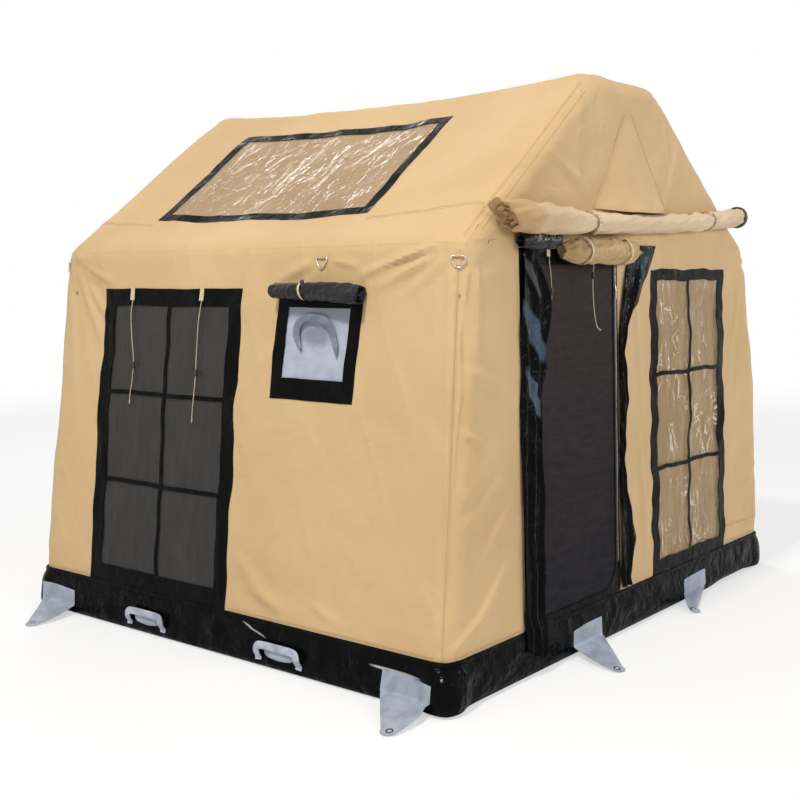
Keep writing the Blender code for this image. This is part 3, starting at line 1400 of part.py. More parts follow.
def make_looks():
    """Each material's name, colour, roughness and metallic value."""
    table = {
        "beam": ((0.05, 0.05, 0.055), 0.45, 0.0),
        "skirt": ((0.012, 0.013, 0.014), 0.28, 0.0),
        "floor": ((0.02, 0.021, 0.023), 0.55, 0.0),
        "cover": ((0.73, 0.50, 0.24), 0.85, 0.0),
        "trim": ((0.012, 0.012, 0.013), 0.3, 0.0),
        "mesh": ((0.06, 0.055, 0.05), 0.8, 0.0),
        "clear": ((0.55, 0.42, 0.25), 0.15, 0.0),
        "curtain": ((0.62, 0.42, 0.22), 0.85, 0.0),
        "heatproof": ((0.50, 0.54, 0.60), 0.6, 0.0),
        "sleeve": ((0.18, 0.19, 0.23), 0.6, 0.0),
        "webbing": ((0.70, 0.56, 0.36), 0.9, 0.0),
        "tab": ((0.36, 0.40, 0.45), 0.5, 0.0),
        "handle": ((0.40, 0.44, 0.49), 0.5, 0.0),
        "metal": ((0.60, 0.60, 0.58), 0.3, 1.0),
        "valve": ((0.10, 0.10, 0.11), 0.4, 0.0),
        "lock": ((0.02, 0.02, 0.02), 0.4, 0.0),
    }
    return {name: material(name, *values) for name, values in table.items()}


def clear_scene():
    for old in list(bpy.data.objects):
        bpy.data.objects.remove(old, do_unlink=True)


def main():
    clear_scene()
    looks = make_looks()
    front_arch = add_frame(looks)
    skirt = add_floor(looks)
    side_wall = add_cover(looks)
    add_windows(looks)
    add_stove_port(looks)
    add_door(looks)
    add_ties(looks)
    add_vent(looks)
    add_tabs(looks, skirt)
    add_handles(looks)
    add_rings(looks, side_wall)
    add_valve(looks, front_arch)
    add_cords(looks)


main()
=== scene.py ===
"""Looks of an inflatable cabin tent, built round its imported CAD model. All lengths are in metres.

The house shape and the seating of cloth on it repeat the CAD source: every sewn piece is laid out on
the flat planes of the house, and skin() seats it on the rounded cover. Here skin() also adds the
wrinkles, folds and bulges of the cloth, so borders, panes and seams stay in layers on the cover.
"""

import itertools
import math

import bmesh
import bpy
import numpy as np
from mathutils import Matrix


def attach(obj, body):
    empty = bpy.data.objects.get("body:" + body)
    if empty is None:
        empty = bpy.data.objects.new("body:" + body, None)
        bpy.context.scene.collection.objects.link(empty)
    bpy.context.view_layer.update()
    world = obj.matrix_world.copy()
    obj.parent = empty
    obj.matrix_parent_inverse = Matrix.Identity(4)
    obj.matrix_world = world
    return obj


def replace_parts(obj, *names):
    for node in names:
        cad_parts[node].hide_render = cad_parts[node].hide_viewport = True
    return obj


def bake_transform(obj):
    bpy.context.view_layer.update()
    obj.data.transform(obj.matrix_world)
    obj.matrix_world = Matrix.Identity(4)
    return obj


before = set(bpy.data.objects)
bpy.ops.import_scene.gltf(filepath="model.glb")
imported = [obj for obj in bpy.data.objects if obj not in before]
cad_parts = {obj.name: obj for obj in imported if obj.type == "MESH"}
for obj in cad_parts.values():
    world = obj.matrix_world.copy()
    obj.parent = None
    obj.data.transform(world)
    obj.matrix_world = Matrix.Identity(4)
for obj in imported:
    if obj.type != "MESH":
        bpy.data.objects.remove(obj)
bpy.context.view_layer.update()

# House shape
TENT_WIDTH = 3.02
TENT_LENGTH = 2.60
SKIRT_HEIGHT = 0.20
EAVE_HEIGHT = 1.79
RIDGE_HEIGHT = 2.545
SIDE_LEAN = 0.20
FRONT_LEAN = 0.046
GABLE_LEAN = 0.038
RIDGE_FLAT = 0.59
RIDGE_SAG = 0.045
SAG_FROM = 1.830
SAG_FULL = 1.905
ROOF_RISE = RIDGE_HEIGHT - EAVE_HEIGHT
SLOPE_UP = (TENT_WIDTH / 2 - SIDE_LEAN - RIDGE_FLAT / 2) / ROOF_RISE

# Clearances and layers
GAP = 0.0003
INSET = 0.0004
BEAM_RADIUS = 0.085
EDGE_ROUND = 0.0913
LAP = 0.015
UNDER = LAP + GAP
COVER = (-0.003, 0.0)
TRIM = (0.0003, 0.0023)
LINING = (-0.0053, -0.0033)
SEAM = (-0.0010, 0.0013)
HEM = (-0.0014, 0.0010)
PROBE = 0.02

# Camera

CAMERA_PLACE = (-4.958, -3.870, 1.663)
CAMERA_TURN = (0.8923, -0.1056, -0.0079)
CAMERA_FOCAL = 1183.4
IMAGE_SIDE = 800.0


def unit(vector):
    return np.asarray(vector, dtype=float) / np.linalg.norm(vector)


def add_camera():
    yaw, pitch, roll = CAMERA_TURN
    ahead = np.array((math.sin(yaw) * math.cos(pitch), math.cos(yaw) * math.cos(pitch), math.sin(pitch)))
    right = np.array((math.cos(yaw), -math.sin(yaw), 0.0))
    up = np.cross(right, ahead)
    across = math.cos(roll) * right + math.sin(roll) * up
    upright = -math.sin(roll) * right + math.cos(roll) * up
    data = bpy.data.cameras.new("camera")
    data.sensor_width = 36.0
    data.lens = CAMERA_FOCAL / IMAGE_SIDE * data.sensor_width
    data.clip_end = 200.0
    camera = bpy.data.objects.new("camera", data)
    columns = np.column_stack((across, upright, -ahead))
    camera.matrix_world = Matrix.Translation(CAMERA_PLACE) @ Matrix(columns.tolist()).to_4x4()
    bpy.context.scene.collection.objects.link(camera)
    bpy.context.scene.camera = camera


add_camera()


# House shape and the seating of cloth on it

def half_width(z):
    wall = TENT_WIDTH / 2 - SIDE_LEAN * z / EAVE_HEIGHT
    eave = TENT_WIDTH / 2 - SIDE_LEAN
    roof = eave + (RIDGE_FLAT / 2 - eave) * (z - EAVE_HEIGHT) / ROOF_RISE
    return np.where(np.asarray(z) <= EAVE_HEIGHT, wall, roof)


def half_length(z):
    wall = TENT_LENGTH / 2 - FRONT_LEAN * z / EAVE_HEIGHT
    gable = TENT_LENGTH / 2 - FRONT_LEAN - GABLE_LEAN * (z - EAVE_HEIGHT) / ROOF_RISE
    return np.where(np.asarray(z) <= EAVE_HEIGHT, wall, gable)


def plane(first, second, along):
    normal = unit(np.cross(np.subtract(second, first), along))
    offset = normal @ first
    return (normal, offset) if offset > 0 else (-normal, -offset)


def house_planes():
    found = [(np.array((0.0, 0.0, 1.0)), RIDGE_HEIGHT)]
    for low, high in ((0.0, EAVE_HEIGHT), (EAVE_HEIGHT, RIDGE_HEIGHT)):
        for sign in (-1, 1):
            sides = [(sign * float(half_width(z)), 0.0, z) for z in (low, high)]
            ends = [(0.0, sign * float(half_length(z)), z) for z in (low, high)]
            found.append(plane(*sides, (0.0, 1.0, 0.0)))
            found.append(plane(*ends, (1.0, 0.0, 0.0)))
    return np.array([normal for normal, _ in found]), np.array([offset for _, offset in found])


NORMALS, OFFSETS = house_planes()
CORE_OFFSETS = OFFSETS - EDGE_ROUND


def core_points(points):
    """The nearest points of the core, which is the house shape drawn in by the edge rounding."""
    best = np.full(points.shape, np.nan)
    reach = np.full(len(points), np.inf)
    for count in (1, 2, 3):
        for group in itertools.combinations(range(len(NORMALS)), count):
            normals = NORMALS[list(group)]
            gram = normals @ normals.T
            if np.linalg.det(gram) < INSET:
                continue
            excess = points @ normals.T - CORE_OFFSETS[list(group)]
            moved = points - excess @ np.linalg.inv(gram) @ normals
            inside = (moved @ NORMALS.T <= CORE_OFFSETS + INSET ** 2).all(axis=1)
            distance = np.linalg.norm(points - moved, axis=1)
            nearer = inside & (distance < reach)
            best[nearer] = moved[nearer]
            reach[nearer] = distance[nearer]
    return best


def smooth(value, low, high):
    """0 below low and 1 above high, with a smooth step between them."""
    share = np.clip((value - low) / (high - low), 0, 1)
    return share * share * (3 - 2 * share)


def sag(y, z):
    reach = half_length(RIDGE_HEIGHT) - EDGE_ROUND
    return RIDGE_SAG * np.clip(1 - (y / reach) ** 2, 0, 1) * smooth(z, SAG_FROM - 0.03, SAG_FULL + 0.03)


def side_face(sign):
    return lambda y, z: np.stack(np.broadcast_arrays(sign * half_width(z), y, z), -1)


def end_face(sign):
    return lambda x, z: np.stack(np.broadcast_arrays(x, sign * half_length(z), z), -1)


LEFT = side_face(-1)
RIGHT = side_face(1)
FRONT = end_face(-1)
REAR = end_face(1)

RANDOM = np.random.default_rng(11)


def waves(count, short, long):
    """Random plane waves with lengths between short and long."""
    ways = RANDOM.normal(size=(count, 3))
    ways /= np.linalg.norm(ways, axis=1, keepdims=True)
    lengths = np.exp(RANDOM.uniform(math.log(short), math.log(long), count))
    return ways * (math.tau / lengths)[:, None], RANDOM.uniform(0, math.tau, count)


BROAD = waves(14, 0.45, 1.3)
MIDDLE = waves(18, 0.16, 0.42)
FINE = waves(26, 0.05, 0.13)
SOFT = waves(16, 0.22, 0.6)


def ripples(points, made):
    ways, starts = made
    return np.sin(points @ ways.T + starts).sum(axis=-1) / math.sqrt(len(starts))


def creases(points, made):
    """Thin ridges where a sum of waves crosses zero."""
    return np.clip(1 - np.abs(ripples(points, made)) * 1.8, 0, 1) ** 2


RING_PLACES = (("front", -1.22), ("middle", -0.53), ("rear", 1.22))
RING_Z = 1.733

# Folds of the cover: face, two ends as (across, height), width and height
FOLDS = (
    (LEFT, (1.13, 1.76), (0.86, 1.645), 0.020, 0.010),
    (LEFT, (1.10, 1.745), (0.88, 1.67), 0.014, -0.007),
    (LEFT, (1.10, 1.66), (0.90, 1.34), 0.022, 0.007),
    (LEFT, (1.02, 1.62), (0.88, 1.46), 0.018, 0.006),
    (LEFT, (1.16, 1.55), (1.10, 1.15), 0.025, 0.005),
    (LEFT, (-0.115, 1.76), (-0.068, 1.655), 0.016, 0.005),
    (LEFT, (-0.26, 1.33), (-0.06, 1.08), 0.030, 0.007),
    (LEFT, (-0.22, 1.20), (-0.08, 1.00), 0.025, 0.004),
    (LEFT, (-1.18, 1.775), (-0.86, 1.62), 0.020, 0.010),
    (LEFT, (-1.12, 1.775), (-0.76, 1.665), 0.016, 0.009),
    (LEFT, (-1.15, 1.76), (-0.80, 1.645), 0.014, -0.008),
    (LEFT, (-1.20, 1.75), (-1.02, 1.60), 0.018, 0.008),
    (LEFT, (-0.53, 1.735), (-0.27, 1.64), 0.020, 0.006),
    (LEFT, (-0.55, 1.70), (-0.53, 1.635), 0.012, 0.005),
    (LEFT, (-0.52, 1.70), (-0.47, 1.64), 0.011, 0.004),
    (LEFT, (-0.54, 1.73), (-0.72, 1.70), 0.014, 0.006),
    (LEFT, (-1.194, 1.70), (-1.236, 0.70), 0.016, 0.007),
    (LEFT, (-1.225, 1.60), (-1.262, 0.40), 0.014, 0.006),
    (LEFT, (-0.16, 0.42), (-0.38, 0.25), 0.030, 0.008),
    (LEFT, (-0.20, 0.33), (-0.48, 0.235), 0.025, 0.006),
    (LEFT, (-0.60, 0.30), (-0.76, 0.235), 0.018, 0.005),
    (FRONT, (-1.357, 1.66), (-1.36, 1.20), 0.014, 0.007),
    (FRONT, (-1.36, 1.25), (-1.43, 0.85), 0.014, 0.006),
    (FRONT, (-1.295, 1.68), (-1.335, 1.45), 0.013, 0.006),
    (FRONT, (-1.24, 1.72), (-1.26, 1.35), 0.014, 0.005),
    (FRONT, (-1.46, 0.225), (-1.27, 0.33), 0.016, 0.010),
    (FRONT, (-1.28, 0.31), (-1.10, 0.50), 0.018, 0.008),
    (FRONT, (-1.40, 0.25), (-1.15, 0.36), 0.014, -0.006),
    (FRONT, (-1.37, 1.065), (-1.24, 1.015), 0.013, 0.006),
    (FRONT, (-1.36, 0.70), (-1.10, 0.86), 0.022, 0.005),
    (FRONT, (-1.30, 0.50), (-1.05, 0.75), 0.025, 0.005),
    (FRONT, (-1.33, 1.30), (-1.10, 1.22), 0.018, 0.004),
    (FRONT, (0.05, 0.90), (0.12, 0.30), 0.022, 0.006),
    (FRONT, (0.02, 1.60), (0.10, 0.95), 0.020, 0.005),
    (FRONT, (1.20, 1.60), (1.06, 1.05), 0.022, 0.006),
    (FRONT, (1.36, 0.60), (1.12, 0.30), 0.022, 0.006),
    (FRONT, (1.36, 0.28), (1.05, 0.34), 0.020, 0.006),
    (FRONT, (-0.70, 2.18), (-0.40, 2.02), 0.020, 0.006),
    (FRONT, (0.50, 2.25), (0.36, 1.99), 0.022, 0.006),
    (RIGHT, (1.16, 1.76), (0.85, 1.60), 0.022, 0.008),
    (RIGHT, (1.14, 1.70), (0.95, 1.30), 0.022, 0.006),
    (RIGHT, (-1.16, 1.76), (-0.85, 1.60), 0.022, 0.008),
    (RIGHT, (-1.14, 1.70), (-0.95, 1.30), 0.022, 0.006),
    (RIGHT, (-0.53, 1.73), (-0.30, 1.62), 0.018, 0.005),
    (RIGHT, (0.30, 0.30), (0.75, 0.23), 0.025, 0.006),
    (REAR, (-1.24, 1.70), (-0.90, 1.50), 0.022, 0.008),
    (REAR, (1.24, 1.70), (0.90, 1.50), 0.022, 0.008),
    (REAR, (-1.40, 0.24), (-1.05, 0.46), 0.022, 0.008),
    (REAR, (1.40, 0.24), (1.05, 0.46), 0.022, 0.008),
    (REAR, (-0.30, 2.20), (-0.10, 1.85), 0.025, 0.005),
)
FOLD_ENDS = [(face(*first), face(*last), wide, tall) for face, first, last, wide, tall in FOLDS]


def relief(points):
    """How far the cloth stands off its plane, which is nothing round its foot."""
    x, y, z = points.T
    foot = smooth(z, SKIRT_HEIGHT - 0.01, SKIRT_HEIGHT + 0.12)
    door = (1 - smooth(y, -1.2, -1.1)) * smooth(x, -1.08, -0.98) * (1 - smooth(x, 0.02, 0.12))
    door *= 1 - smooth(z, 1.95, 2.1)
    loose = foot * (1 - 0.85 * door)
    lift = loose * (0.0040 * ripples(points, BROAD) + 0.0026 * ripples(points, MIDDLE))
    lift += loose * 0.0014 * creases(points, FINE) * smooth(ripples(points, BROAD), -0.2, 1.2)
    lift += loose * 0.0035 * creases(points * (1.0, 1.0, 0.45), SOFT)
    for first, last, wide, tall in FOLD_ENDS:
        run = last - first
        share = np.clip((points - first) @ run / (run @ run), 0, 1)
        away = np.linalg.norm(points - first - share[:, None] * run, axis=1) / (1.3 * wide)
        taper = 0.35 + 0.65 * np.sin(np.pi * np.clip(share * 0.9 + 0.1, 0, 1))
        lift += 2.6 * tall * taper * (np.exp(-away ** 2) - 0.45 * np.exp(-(away / 2.3) ** 2)) * foot
    belly = np.sin(np.pi * np.clip((z - SKIRT_HEIGHT) / (EAVE_HEIGHT - SKIRT_HEIGHT), 0, 1)) ** 0.8
    lift += 0.026 * belly * smooth(x, 1.12, 1.34) * (z < EAVE_HEIGHT)
    lift += 0.006 * belly * smooth(-x, 1.25, 1.4) * np.cos(np.pi * y / TENT_LENGTH)
    # Over a beam the cloth is held out by it
    over = np.maximum.reduce([
        1 - smooth(np.abs(z - EAVE_HEIGHT), 0.13, 0.2),
        1 - smooth(half_length(z) - np.abs(y), 0.13, 0.2),
        smooth(z, 0.2, 0.22) * (1 - smooth(half_width(z) - np.abs(x), 0.13, 0.2))
        * (np.abs(y) > half_length(z) - 0.15),
        (1 - smooth(np.abs(x), 0.38, 0.44)) * smooth(z, RIDGE_HEIGHT - 0.2, RIDGE_HEIGHT - 0.12),
        1 - smooth(z, 0.24, 0.3),
    ])
    lift += over * (np.maximum(lift, -0.0019) - lift)
    # The tie rings hang on cloth that their patches hold flat
    for _, place in RING_PLACES:
        lift *= 1 - (np.abs(x) > 1.1) * (1 - smooth(np.hypot(y - place, z - RING_Z), 0.045, 0.085))
    return lift


def seated(points, height, loose=None):
    """Points of the house planes, seated on the rounded cover, with a function for how far it is loose."""
    flat = points.reshape(-1, 3)
    core = core_points(flat)
    out = flat - core
    out /= np.linalg.norm(out, axis=1, keepdims=True)
    heights = EDGE_ROUND + np.broadcast_to(height, points.shape[:-1]).reshape(-1)
    if loose:
        heights = heights + loose(flat)
    return core + out * heights[:, None]


def skin(points, height=0.0):
    """Points of the house planes, seated on the rounded, wrinkled cover at a height above its outer face."""
    points = np.asarray(points, dtype=float)
    placed = seated(points, height, relief)
    placed[:, 2] -= sag(placed[:, 1], placed[:, 2])
    return placed.reshape(points.shape)


def flat_skin(points, height=0.0):
    """Points near the ground, seated on the cover where it has no wrinkles."""
    points = np.asarray(points, dtype=float)
    return seated(points, height).reshape(points.shape)


def facing(face, across, level):
    """The way out of a face at a place."""
    spot = face(across, level)
    return unit(skin(spot, PROBE) - skin(spot))


def upward(face, level):
    """The way up a face in the middle of the tent, at a height."""
    return unit(skin(face(0.0, level + PROBE)) - skin(face(0.0, level - PROBE)))


# Materials

class Nodes:
    """The node tree of a material or a world, under construction."""

    def __init__(self, owner):
        owner.use_nodes = True
        self.nodes = owner.node_tree.nodes
        self.links = owner.node_tree.links

    def add(self, kind, **values):
        node = self.nodes.new(kind)
        for name, value in values.items():
            setattr(node, name, value)
        return node

    def put(self, socket, value):
        """Links another node's output to a socket, or sets the socket to a value."""
        if isinstance(value, bpy.types.NodeSocket):
            self.links.new(value, socket)
        else:
            socket.default_value = value

    def feed(self, node, **inputs):
        for name, value in inputs.items():
            self.put(node.inputs[name.replace("_", " ")], value)
        return node

    def math(self, operation, first, second=0.0):
        node = self.add("ShaderNodeMath", operation=operation)
        self.put(node.inputs[0], first)
        self.put(node.inputs[1], second)
        return node.outputs[0]

    def length(self, vector):
        node = self.add("ShaderNodeVectorMath", operation="LENGTH")
        self.put(node.inputs[0], vector)
        return node.outputs["Value"]

    def blend(self, share, first, second):
        """Two shaders, mixed by the share of the second one."""
        node = self.add("ShaderNodeMixShader")
        for socket, value in zip(node.inputs, (share, first.outputs[0], second.outputs[0])):
            self.put(socket, value)
        return node

    def show(self, output, shader):
        self.put(self.nodes[output].inputs["Surface"], shader.outputs[0])


class Look(Nodes):
    """A material, with its textures in metres of the tent's own frame."""

    def __init__(self, name):
        self.material = bpy.data.materials.new(name)
        super().__init__(self.material)
        self.shader = self.nodes["Principled BSDF"]
        self.place = self.add("ShaderNodeTexCoord").outputs["Object"]
        self.normal = None

    def noise(self, scale, detail, ridged=False, warp=0.0, stretch=None):
        node = self.add("ShaderNodeTexNoise", noise_type="RIDGED_MULTIFRACTAL" if ridged else "FBM")
        place = self.place
        if stretch:
            mapping = self.feed(self.add("ShaderNodeMapping"), Vector=place, Scale=stretch)
            place = mapping.outputs["Vector"]
        self.feed(node, Vector=place, Scale=scale, Detail=detail, Distortion=warp)
        return node.outputs[0]

    def cells(self, scale):
        """Bent cells, as in cloth that has been crumpled."""
        node = self.add("ShaderNodeTexVoronoi", feature="F1")
        bent = self.add("ShaderNodeVectorMath", operation="MULTIPLY_ADD")
        colour = self.add("ShaderNodeTexNoise")
        self.feed(colour, Vector=self.place, Scale=scale / 2, Detail=3.0)
        for socket, value in zip(bent.inputs, (colour.outputs["Color"], (1.2 / scale,) * 3, self.place)):
            self.put(socket, value)
        return self.feed(node, Vector=bent.outputs[0], Scale=scale).outputs["Distance"]

    def threads(self, period, axis, warp):
        node = self.add("ShaderNodeTexWave", bands_direction=axis)
        scale = math.tau / (20 * period)
        self.feed(node, Vector=self.place, Scale=scale, Distortion=warp, Detail=1.0)
        return node.outputs["Fac"]

    def weave(self, period, warp, operation):
        """Threads along each of the three axes, joined by a math operation."""
        first, second, third = (self.threads(period, axis, warp) for axis in "XYZ")
        return self.math(operation, self.math(operation, first, second), third)

    def ramp(self, value, low, high, start=0.0, end=1.0):
        node = self.add("ShaderNodeMapRange")
        self.feed(node, Value=value, From_Min=low, From_Max=high, To_Min=start, To_Max=end)
        return node.outputs["Result"]

    def mix(self, share, first, second):
        node = self.add("ShaderNodeMix", data_type="RGBA")
        self.put(node.inputs[0], share)
        for index, colour in ((6, first), (7, second)):
            self.put(node.inputs[index], (*colour, 1.0) if isinstance(colour, tuple) else colour)
        return node.outputs[2]

    def patched(self, colour, patches, edge=0.3):
        """A colour with other colours inside turned ellipsoids, which have a soft, uneven edge."""
        for centre, radii, turn, tint in patches:
            shift = self.add("ShaderNodeMapping", vector_type="TEXTURE")
            self.feed(shift, Vector=self.place, Location=centre, Rotation=turn, Scale=radii)
            away = self.math("ADD", self.length(shift.outputs["Vector"]),
                             self.math("MULTIPLY", self.noise(30.0, 3.0), edge))
            colour = self.mix(self.ramp(away, 1.0 + edge, 1.0), colour, tint)
        return colour

    def bump(self, height, strength, distance):
        node = self.add("ShaderNodeBump")
        self.feed(node, Height=height, Strength=strength, Distance=distance)
        if self.normal is not None:
            self.put(node.inputs["Normal"], self.normal)
        self.normal = node.outputs["Normal"]

    def finish(self, **sockets):
        if self.normal is not None:
            self.put(self.shader.inputs["Normal"], self.normal)
        self.feed(self.shader, **sockets)
        return self.material


def darker(colour, share):
    return tuple(channel * share for channel in colour)


def canvas(name, light, dark, wrinkle=1.0, patches=()):
    """Woven tan cloth: uneven dye, soft wrinkles and a plain weave."""
    look = Look(name)
    colour = look.mix(look.ramp(look.noise(1.6, 5.0, warp=0.6), 0.36, 0.66), light, dark)
    worn = look.ramp(look.noise(22.0, 6.0), 0.58, 0.8, 0.0, 0.35)
    # Patches, where given, are painted shade: the storm roll's darker left end.
    colour = look.patched(look.mix(worn, colour, darker(light, 0.86)), patches)
    fleck = look.ramp(look.noise(900.0, 2.0), 0.35, 0.65, 0.0, 0.10)
    colour = look.mix(fleck, colour, dark)
    look.bump(look.noise(3.2, 5.0, warp=0.8), 0.75 * wrinkle, 0.020)
    look.bump(look.noise(8.0, 4.0, ridged=True, warp=0.5), 0.22 * wrinkle, 0.005)
    look.bump(look.noise(38.0, 4.0), 0.28 * wrinkle, 0.0018)
    look.bump(look.weave(WEAVE_PERIOD, 0.4, "ADD"), 0.12, 0.0003)
    rough = look.ramp(look.noise(45.0, 3.0), 0.3, 0.7, 0.78, 0.92)
    return look.finish(Base_Color=colour, Roughness=rough, IOR=1.4, Sheen_Weight=0.08)


def gloss(name, colour, haze, crinkle, rough, scale, patches=(), coat=0.0):
    """Coated fabric that shines: crinkled, with a haze of dust and scuffs."""
    look = Look(name)
    dusty = look.ramp(look.noise(7.0, 6.0, warp=1.0), 0.52, 0.78, 0.0, 0.6)
    # Patches here are painted sheen and glints on the black cloth, all but one grey welded edge on the skirt.
    mixed = look.patched(look.mix(dusty, colour, haze), patches)
    look.bump(look.noise(scale * 0.45, 3.0, warp=1.2), 0.65 * crinkle, 0.022)
    look.bump(look.noise(scale, 4.0, ridged=True, warp=1.0), 0.45 * crinkle, 0.008)
    look.bump(look.cells(scale * 2.6), 0.25 * crinkle, 0.004)
    look.bump(look.noise(420.0, 2.0), 0.05, 0.0004)
    shine = look.ramp(look.noise(12.0, 5.0), 0.35, 0.7, *rough)
    return look.finish(Base_Color=mixed, Roughness=shine, IOR=1.115, Coat_Weight=coat, Coat_Roughness=0.33)


def net(name, top, low, levels, cover, shine=0.0, ripple=None):
    """Fine insect net, which lets some of what is behind it through."""
    look = Look(name)
    height = look.add("ShaderNodeSeparateXYZ")
    look.put(height.inputs[0], look.place)
    colour = look.mix(look.ramp(height.outputs["Z"], *levels), low, top)
    # Painted sheen: lighter streaks that run along the net's ripples.
    sheen_streak = look.ramp(look.noise(9.0, 4.0, stretch=ripple), 0.35, 0.7, 0.0, 0.35)
    colour = look.mix(sheen_streak, colour, darker(top, 1.5))
    threads = look.weave(NET_PERIOD, 0.2, "MAXIMUM")
    alpha = look.ramp(threads, 0.55, 0.95, cover, 1.0)
    look.bump(look.noise(7.0, 3.0, stretch=ripple), 0.5, 0.012)
    look.bump(threads, 0.3, 0.0004)
    return look.finish(Base_Color=colour, Roughness=0.6, Alpha=alpha, IOR=1.15, Coat_Weight=shine,
                       Coat_Roughness=0.12)


def film(name, tint, pale, crease, stretch, haze):
    """Clear flexible window film: sharp creases that catch the light, and pale, more opaque painted glint
    lines, over a faint haze.
    """
    look = Look(name)
    look.bump(look.noise(5.0, 3.0, warp=1.0, stretch=stretch), 0.8 * crease, 0.02)
    look.bump(look.noise(10.0, 5.0, ridged=True, warp=1.6, stretch=stretch), 0.8 * crease, 0.008)
    look.bump(look.noise(34.0, 4.0, ridged=True, warp=1.0, stretch=stretch), 0.5 * crease, 0.003)
    # Painted glints: thin pale lines, more opaque than the rest, in patches across the film.
    swing = look.math("SUBTRACT", look.noise(11.0, 4.0, warp=1.6, stretch=stretch), 0.5)
    lines = look.ramp(look.math("ABSOLUTE", swing), 0.028, 0.004)
    where = look.ramp(look.noise(6.0, 3.0), 0.42, 0.62)
    sheen_streak = look.math("MULTIPLY", lines, where)
    rough = look.ramp(look.noise(20.0, 3.0), 0.3, 0.7, 0.06, 0.2)
    alpha = look.ramp(sheen_streak, 0.0, 1.0, *haze)
    return look.finish(Base_Color=look.mix(sheen_streak, tint, pale), Roughness=rough, Alpha=alpha, IOR=1.6)


def moulded(name, light, dark, grain, rough=(0.38, 0.55), patches=()):
    """Plain plastic or coated sheet with a fine grain, scuffed here and there, and with painted shade inside
    any patches given.
    """
    look = Look(name)
    colour = look.mix(look.ramp(look.noise(14.0, 5.0, warp=0.5), 0.4, 0.7), light, dark)
    colour = look.patched(colour, patches, 0.7)
    look.bump(look.noise(24.0, 4.0, warp=0.6), 0.35, 0.004)
    look.bump(look.noise(grain, 2.0), 0.12, 0.0004)
    shine = look.ramp(look.noise(60.0, 4.0), 0.3, 0.7, *rough)
    return look.finish(Base_Color=colour, Roughness=shine, IOR=1.45)


def webbing(name, light, dark, period=0.0022):
    """Woven tape or cord with a ribbed twill."""
    look = Look(name)
    ribs = look.math("MULTIPLY", look.threads(period, "Z", 1.0), look.threads(period * 1.3, "Y", 1.0))
    colour = look.mix(look.ramp(ribs, 0.1, 0.6), dark, light)
    look.bump(ribs, 0.5, 0.0006)
    look.bump(look.noise(60.0, 3.0), 0.2, 0.001)
    return look.finish(Base_Color=colour, Roughness=look.ramp(ribs, 0.0, 1.0, 0.95, 0.75))


def stitched(name, light, thread):
    """A sewn seam: cloth with a row of stitches along it, from the strip's own lengths."""
    look = Look(name)
    lay = look.add("ShaderNodeAttribute", attribute_name="lay")
    split = look.add("ShaderNodeSeparateXYZ")
    look.put(split.inputs[0], lay.outputs["Vector"])
    turn = look.math("FRACT", look.math("DIVIDE", split.outputs["X"], STITCH_PERIOD))
    dash = look.ramp(look.math("ABSOLUTE", look.math("SUBTRACT", turn, 0.5)), 0.28, 0.34, 1.0, 0.0)
    middle = look.math("ABSOLUTE", split.outputs["Y"])
    stitch = look.math("MULTIPLY", dash, look.ramp(middle, 0.30, 0.16))
    # Painted shade: the strip darkens along both its edges, in the creases of the seam.
    crease = look.ramp(look.math("ABSOLUTE", look.math("SUBTRACT", middle, 0.95)), 0.3, 0.0, 0.0, 0.25)
    colour = look.mix(crease, light, darker(light, 0.6))
    colour = look.mix(stitch, colour, thread)
    look.bump(stitch, 0.5, 0.0012)
    look.bump(look.noise(70.0, 4.0), 0.35, 0.002)
    return look.finish(Base_Color=colour, Roughness=0.85, IOR=1.4)


def steel(name):
    look = Look(name)
    worn = look.ramp(look.noise(90.0, 4.0), 0.45, 0.75)
    look.bump(look.noise(500.0, 3.0), 0.08, 0.0004)
    rough = look.ramp(look.noise(120.0, 3.0), 0.3, 0.7, 0.22, 0.42)
    return look.finish(Base_Color=look.mix(worn, (0.62, 0.62, 0.60), (0.36, 0.35, 0.33)), Roughness=rough,
                       Metallic=1.0)


WEAVE_PERIOD = 0.0016
NET_PERIOD = 0.0019
STITCH_PERIOD = 0.012

TAN = (0.600, 0.412, 0.212)
TAN_DARK = (0.550, 0.370, 0.183)
BLACK = (0.0030, 0.0031, 0.0035)
BLACK_HAZE = (0.0085, 0.009, 0.011)
GREY = (0.36, 0.40, 0.47)
GREY_DARK = (0.24, 0.27, 0.34)
CREAM = (0.72, 0.60, 0.42)

# Painted sheen: blue-grey patches where the clear film parts of the left flap (four) and the right flap (one)
# reflect the light.
FLAP_SHEEN_PATCHES = (
    ((-0.865, -1.29, 1.425), (0.043, 0.08, 0.145), (0.0, -0.56, 0.0), (0.055, 0.075, 0.110)),
    ((-0.875, -1.29, 1.175), (0.030, 0.08, 0.115), (0.0, -0.50, 0.0), (0.075, 0.090, 0.120)),
    ((-0.860, -1.29, 1.640), (0.020, 0.08, 0.110), (0.0, -0.62, 0.0), (0.065, 0.062, 0.062)),
    ((-0.925, -1.29, 1.600), (0.010, 0.08, 0.090), (0.0, 0.0, 0.0), (0.035, 0.045, 0.065)),
    ((0.077, -1.27, 1.68), (0.022, 0.08, 0.080), (0.0, 0.15, 0.0), (0.020, 0.040, 0.056)),
)
# Painted shade on the stove port's panel: a darker patch under the top of the sleeve's arch, and a darker
# band under the rolled cover.
PANEL_SHADE_PATCHES = (
    ((-1.36, -0.515, 1.415), (0.1, 0.080, 0.045), (0.0, 0.0, 0.0), (0.20, 0.22, 0.28)),
    ((-1.36, -0.53, 1.52), (0.1, 0.25, 0.05), (0.0, 0.0, 0.0), (0.30, 0.31, 0.37)),
)
